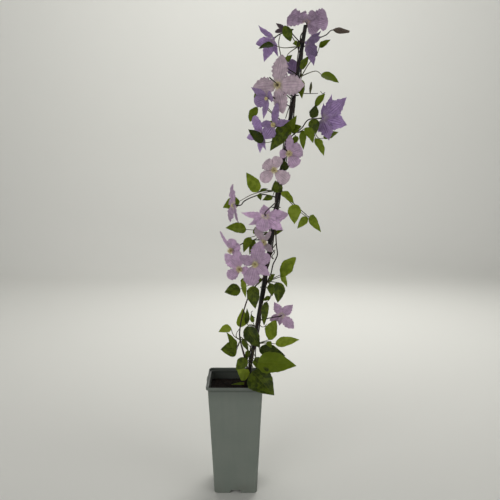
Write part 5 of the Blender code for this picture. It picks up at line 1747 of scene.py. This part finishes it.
def stalk_line(flower):
    """The line of the stalk that carries a flower, and the stem that it grows from."""
    front = facing_frame(*flower["facing"])[0]
    end = Vector(flower["at"]) - front * (HUB_BACK + GAP)
    run_out = end - front * STALK_RUN_OUT
    root, *on_the_way = flower["stalk"]
    stem = flower.get("stem")
    if not stem:
        stem = nearest_stem(root, Vector(on_the_way[0]) if on_the_way else run_out)
        root = stem_point(stem, root)
    path = fine_path([root, *on_the_way, run_out, end])
    girths = [stalk_girth(k / (len(path) - 1)) for k in range(len(path))]
    return (path, girths, False), stem


def spray_root(name):
    """The point that a spray's leaf stalks grow from, and the stem that carries it, if any."""
    root, leaves = SPRAYS[name]
    if not isinstance(root, float):
        return Vector(root), None
    target = sum((Vector(row[0]) for row in leaves), Vector()) / len(leaves)
    stem = nearest_stem(root, target)
    at = stem_point(stem, root)
    away = target - at
    away.z = 0.0
    return at + away.normalized() * (stem_radius(stem, root) + GAP + NODE_SWELL), stem


def stem_lines():
    """For each stem, the lines of its stalks and shoots, and the heights where anything grows."""
    stalks = {stem: [] for stem in STEM_PHASE}
    nodes = {stem: [] for stem in STEM_PHASE}
    for name, (root, _) in SPRAYS.items():
        stem = spray_root(name)[1]
        if stem:
            nodes[stem].append(root)
    for flower in FLOWERS.values():
        line, stem = stalk_line(flower)
        stalks[stem].append(line)
        nodes[stem].append(line[0][0].z)
    for stem, points, radii in SHOOTS:
        start = stem_point(stem, points[0][2])
        path = fine_path([start, *points[1:]])
        stalks[stem].append((path, even_girths(len(path), radii), False))
    return stalks, nodes


def build_stems():
    """Each climbing stem with ribs and swollen nodes, and the stalks and shoots that leave it."""
    stalks, nodes = stem_lines()
    for stem, guide in STEM_PATHS.items():
        path = smooth_path(guide, FINE_STEP)
        girths = []
        for point in path:
            swell = min(1.0, sum(bell(point.z, height, NODE_SPAN) for height in nodes[stem]))
            girths.append(stem_radius(stem, point.z) + STEM_NODE_SWELL * swell)
        bark = rods(stem + "_bark", [(path, girths, False)], "stem_bark", 12, 6, 0.07)
        settle(bark, "stem", stem)
        stalk_piece = rods(stem + "_stalks", stalks[stem], "stalk_skin", 8, 4, 0.03)
        settle(stalk_piece, "stem", stem)
        add_hairs(stalk_piece, STALK_HAIRS, "stem", stem)


def build_buds():
    """Each bud at the end of its shoot, ribbed and hairy."""
    for name, (points, radii) in BUDS.items():
        path = smooth_path(points, BUD_STEP)
        steps = [(radius, k, 0.0) for k, radius in enumerate(radii)]
        girths = even_girths(len(path), [value.x for value in smooth_path(steps, 0.1)])
        finish = "bud_skin" if name == "bud_large" else "leaf_stalk"
        bud = rods(name, [(path, girths, False)], finish, 24, 4, 0.07)
        settle(bud, "stem", "stem_right")
        add_hairs(bud, BUD_HAIRS, "stem", "stem_right")


def build_tendrils():
    """Thin tendrils that curl beside the stems."""
    lines = []
    for points, radii in TENDRILS:
        path = smooth_path(points, BUD_STEP)
        lines.append((path, even_girths(len(path), radii), False))
    settle(rods("tendrils", lines, "stalk_skin", 8), "stem")


def build_fallen_leaf():
    """A strip of dry leaf that lies on the compost."""
    grid, _ = leaf_grid(*FALLEN_LEAF, 0, random.Random("fallen leaf"))
    shape = Shape()
    shape.add_blade(grid, LEAF_THICKNESS, 0.5)
    settle(shape.finish_piece("fallen_leaf", "leaf_blade"), "leaf")


def turned_face(normal, along, share):
    """A blade's normal, turned about the blade's own axis some of the way towards the viewer."""
    towards = VIEWER - along * VIEWER.dot(along)
    if towards.length < END_ON:
        return normal
    towards.normalize()
    if towards.dot(normal) < 0:
        towards = -towards
    return (normal * (1 - share) + towards * share).normalized()


def scalloped(scallops, t, phases):
    """How far waves of several paces push a margin out at a share of its length."""
    return sum(depth * math.sin(math.tau * pace * t + phase)
               for (depth, pace), phase in zip(scallops, phases))


def middle_point(root, along, arched, length, arch, t):
    """A point on a blade's middle line, which arches up between its base and its tip."""
    return root + along * (length * t) + arched * (arch * length * 4 * t * (1 - t))


def sepal_grid(centre, flower_frame, row, order, crimp, turn_share, draw):
    """The grid of one sepal's middle surface: ribbed, arched, with ruffled, scalloped margins."""
    angle, length, width, lift, kind = row
    front, above, right = flower_frame
    turn, rise = math.radians(angle), math.radians(lift)
    spread = above * math.cos(turn) + right * math.sin(turn)
    along = spread * math.cos(rise) + front * math.sin(rise)
    normal = front * math.cos(rise) - spread * math.sin(rise)
    face = turned_face(normal, along, turn_share)
    side = along.cross(face)
    parity = 1 if order % 2 else -1
    root = centre + front * SEPAL_LAYER * parity + along * SEPAL_ROOT
    first, period = SHORT_SEPAL_WAVE_SPANS if length < SHORT_SEPAL else SEPAL_WAVE_SPANS
    length -= SEPAL_ROOT
    phases = [draw.uniform(0, math.tau) for _ in range(6)]
    count = 3.0 + 2.5 * draw.random()
    scallops = [(crimp * depth, count * pace) for depth, pace in SEPAL_SCALLOPS]
    curl = SEPAL_CURL * length * (0.4 + 0.6 * phases[0] / math.tau)
    grid = []
    for r in range(SEPAL_ROWS + 1):
        t = r / SEPAL_ROWS
        half = sepal_outline(t, kind) * width / 2 * SEPAL_WIDEN
        ripple = SEPAL_WAVE * parity * math.cos(math.tau * (t - first) / period)
        middle = middle_point(root, along, normal, length, SEPAL_ARCH, t)
        tip_share = max(0.0, (t - SEPAL_CURL_START) / SEPAL_CURL_SPAN)
        line = []
        for c in range(SEPAL_COLUMNS):
            u = 2 * c / (SEPAL_COLUMNS - 1) - 1
            far = abs(u)
            margin = phases[0::2] if u < 0 else phases[1::2]
            scallop = 1 + far * scalloped(scallops, t, margin)
            wave = math.sin(math.tau * count * t + margin[2]) * math.sin(math.pi * t)
            ruffle = crimp * SEPAL_RUFFLE * far ** 2 * wave
            ribs = (bell(far, 0.0, SEPAL_RIB_WIDTHS[0])
                    + SEPAL_SIDE_RIB * bell(far, SIDE_RIB_AT, SEPAL_RIB_WIDTHS[1]))
            spot = (root + along * (length * t) + side * (half * u)) * SEPAL_CRINKLE_PACE
            out = half * (SEPAL_EDGE * far ** 1.6 - u * ripple + ruffle)
            out -= SEPAL_RIB_DEPTH * ribs * (1 - t * t)
            out += SEPAL_CRINKLE * crimp * noise.noise(spot)
            out -= curl * tip_share ** 2
            line.append(middle + side * (half * u * scallop) + face * out)
        grid.append(line)
    return grid


def hub_rings(centre, front):
    """The rings of the hub that joins a flower's sepals, from its stalk to its front."""
    one, other = across(front)
    rings = []
    for k, radius in enumerate(HUB_RADII):
        depth = -HUB_BACK + (HUB_FRONT + HUB_BACK) * k / (len(HUB_RADII) - 1)
        rings.append(ring_points(centre + front * depth, one, other, radius, HUB_SIDES))
    return rings


def build_flowers():
    """Each flower's sepals on their hub, and its tuft of stamens."""
    for name, flower in FLOWERS.items():
        centre = Vector(flower["at"])
        flower_frame = facing_frame(*flower["facing"])
        front = flower_frame[0]
        draw = random.Random(name)
        finish, crimp = SEPAL_LOOKS.get(name, USUAL_SEPALS)
        share = FACE_TURNS.get(name, 0.0)
        shape = Shape()
        shape.add_rings(hub_rings(centre, front))
        for order, row in enumerate(flower["sepals"]):
            grid = sepal_grid(centre, flower_frame, row, order, crimp, share, draw)
            tone = FLOWER_TONES[name] + draw.uniform(-SEPAL_TONE_SPREAD, SEPAL_TONE_SPREAD)
            shape.add_blade(grid, SEPAL_THICKNESS, tone)
        settle(shape.finish_piece(name + "_petals", finish), "sepal", name + "_sepals")
        if name not in HALF_OPEN:
            build_stamens(name, centre, front, flower["sepals"], draw)


def build_stamens(name, centre, front, sepals, draw):
    """A flower's tuft of stamens, gathered in where its sepals stand forward."""
    steepest = max(row[3] for row in sepals)
    rise = STAMEN_FOOT_REACH * math.tan(math.radians(steepest))
    over_sepals = SEPAL_LAYER + BLADE_THICKNESS / 2 + rise
    foot = centre + front * (max(HUB_FRONT, over_sepals) + GAP)
    closing = 1 - steepest / 90
    piece = new_piece(name + "_tuft", bpy.data.meshes.new(name + "_tuft"))
    turn = front.to_track_quat("Z", "Y").to_euler()
    length, spread, eye = TUFT_LOOKS.get(name, USUAL_TUFT)
    eye_finish = "stamen_dark_eye" if name in DARK_EYES else "stamen_eye"
    grow(piece, STAMENS, Seed=draw.randrange(1000), Spread=spread * closing,
         Foot=STAMEN_FOOT * closing, Length=length, Eye_Size=eye, Turn=tuple(turn),
         Place=tuple(foot), Filament=FINISHES["stamen_filament"],
         Anther=FINISHES["stamen_anther"], Eye=FINISHES[eye_finish])
    settle(piece, "stamen", name + "_stamens")


def leaf_grid(base, tip, width, order, draw, bends=LEAF_OUTLINE):
    """One leaf's middle surface, folded on its midrib and quilted, and where its stalk ends."""
    base, tip = Vector(base), Vector(tip)
    length = (tip - base).length
    along = (tip - base) / length
    parity = 1 if order % 2 else -1
    face = LEAF_FACE + EAST * (LEAF_FACE_SPREAD * parity)
    normal = (face - along * face.dot(along)).normalized()
    side = along.cross(normal)
    first, period = SHORT_LEAF_WAVE_SPANS if length < SHORT_LEAF else LEAF_WAVE_SPANS
    phases = [draw.uniform(0, math.tau) for _ in range(4)]
    grid = []
    for r in range(LEAF_ROWS + 1):
        t = r / LEAF_ROWS
        half = leaf_outline(t, bends) * width / 2 * LEAF_WIDEN
        ripple = LEAF_WAVE * parity * math.cos(math.tau * (t - first) / period)
        middle = middle_point(base, along, normal, length, LEAF_ARCH, t)
        line = []
        for c in range(LEAF_COLUMNS):
            u = 2 * c / (LEAF_COLUMNS - 1) - 1
            far = abs(u)
            margin = phases[0::2] if u < 0 else phases[1::2]
            edge = 1 + far * scalloped(LEAF_SCALLOPS, t, margin)
            between_veins = math.cos(SIDE_VEIN_PACE * (t - SIDE_VEIN_SLANT * far))
            quilt = between_veins * bell(far, 0.55, 0.35) * math.sin(math.pi * t)
            groove = (bell(far, 0.0, LEAF_GROOVE_WIDTHS[0])
                      + LEAF_SIDE_GROOVE * bell(far, SIDE_RIB_AT, LEAF_GROOVE_WIDTHS[1]))
            ruffle = math.sin(math.tau * LEAF_RUFFLE_PACE * t + margin[1])
            lift = half * (LEAF_EDGE * far ** 1.25 - u * ripple)
            lift += half * LEAF_RUFFLE * far ** 2 * ruffle
            lift += LEAF_QUILT * width * quilt - LEAF_GROOVE_DEPTH * groove * (1 - t)
            line.append(middle + side * (half * u * edge) + normal * lift)
        grid.append(line)
    return grid, middle_point(base, along, normal, length, LEAF_ARCH, 0.5 / LEAF_ROWS)


def node_knob(root):
    """The line of the knob that a spray's leaf stalks grow from, thickest in its middle."""
    heights = [2 * k / NODE_STEPS - 1 for k in range(NODE_STEPS + 1)]
    path = [root + UP * (NODE_SWELL * height) for height in heights]
    girths = [NODE_SWELL * math.sqrt(max(NODE_END_SHARE, 1 - height ** 2)) for height in heights]
    return path, girths, False


def build_leaves():
    """Each spray: its leaf blades as one piece, and its leaf stalks and node as another."""
    for name, (_, leaves) in SPRAYS.items():
        draw = random.Random(name)
        root = spray_root(name)[0]
        shape = Shape()
        lines = [node_knob(root)]
        for order, (base, tip, width, on_the_way) in enumerate(leaves):
            bends = OVAL_OUTLINE if (name, order) in OVAL_LEAVES else LEAF_OUTLINE
            grid, joint = leaf_grid(base, tip, width, order, draw, bends)
            tone = LEAF_TONES.get((name, order), SPRAY_TONES[name])
            tone += draw.uniform(-TONE_SPREAD, TONE_SPREAD)
            shape.add_blade(grid, LEAF_THICKNESS, tone)
            path = fine_path([root, *on_the_way, joint])
            lines.append((path, even_girths(len(path), LEAF_STALK_RADII), False))
        settle(shape.finish_piece(name + "_blades", "leaf_blade"), "leaf", name)
        stalk_piece = rods(name + "_stalks", lines, "leaf_stalk", 8)
        settle(stalk_piece, "leaf", name)
        add_hairs(stalk_piece, STALK_HAIRS, "leaf", name)


# Stage, light and camera

def build_stage():
    """A pale floor that sweeps up into a pale wall, far enough back for every view."""
    finish, _, shader = new_finish("studio_paper", 0.9, Specular_IOR_Level=0.1)
    shader.inputs["Base Color"].default_value = opaque(STAGE_COLOUR)
    profile = [(STAGE_FRONT, 0.0), (STAGE_BACK, 0.0)]
    for k in range(1, SWEEP_STEPS + 1):
        turn = math.radians(90 * k / SWEEP_STEPS)
        profile.append((STAGE_BACK + SWEEP_RADIUS * math.sin(turn),
                        SWEEP_RADIUS - SWEEP_RADIUS * math.cos(turn)))
    profile.append((STAGE_BACK + SWEEP_RADIUS, WALL_TOP))
    points, faces = [], []
    for y, z in profile:
        points += [(-STAGE_HALF_WIDTH, y, z), (STAGE_HALF_WIDTH, y, z)]
    for k in range(len(profile) - 1):
        faces.append((2 * k, 2 * k + 1, 2 * k + 3, 2 * k + 2))
    mesh = bpy.data.meshes.new("studio_sweep")
    mesh.from_pydata(points, [], faces)
    mesh.shade_smooth()
    mesh.materials.append(finish)
    sweep = new_piece("studio_sweep", mesh)


def add_light(name, place, target, size, power):
    """A soft square light that points at a target."""
    data = bpy.data.lights.new(name, "AREA")
    data.shape = "SQUARE"
    data.size = size
    data.energy = power
    data.color = LIGHT_COLOUR
    light = new_piece(name, data)
    light.location = place
    way = Vector(target) - Vector(place)
    light.rotation_euler = way.to_track_quat("-Z", "Y").to_euler()


def build_light():
    """A pale world and the soft lights: from the front, the side and behind, and on the wall."""
    world = bpy.data.worlds.new("studio")
    world.use_nodes = True
    tree = world.node_tree
    direction = add(tree, "ShaderNodeTexCoord").outputs["Generated"]
    height = add(tree, "ShaderNodeSeparateXYZ", {0: direction}).outputs["Z"]
    background = tree.nodes["Background"].inputs
    background["Color"].default_value = opaque(WORLD_COLOUR)
    strength = ramp(tree, height, *WORLD_RISE, *WORLD_STRENGTHS)
    tree.links.new(strength, background["Strength"])
    bpy.context.scene.world = world
    for name, row in LIGHTS.items():
        add_light(name, *row)
    bpy.context.scene.view_settings.view_transform = "Standard"


def build_camera():
    """The camera at the photograph's place and angle."""
    data = bpy.data.cameras.new("camera")
    data.lens = LENS
    data.sensor_width = SENSOR_WIDTH
    camera = new_piece("camera", data)
    camera.location = CAMERA_AT
    camera.rotation_euler = (math.radians(90.0 + CAMERA_PITCH), 0.0, 0.0)
    bpy.context.scene.camera = camera


build_camera()
build_stage()
build_light()
build_pot()
build_soil()
build_cane()
build_ties()
build_stems()
build_buds()
build_flowers()
build_leaves()
build_tendrils()
build_fallen_leaf()

bpy.context.view_layer.update()
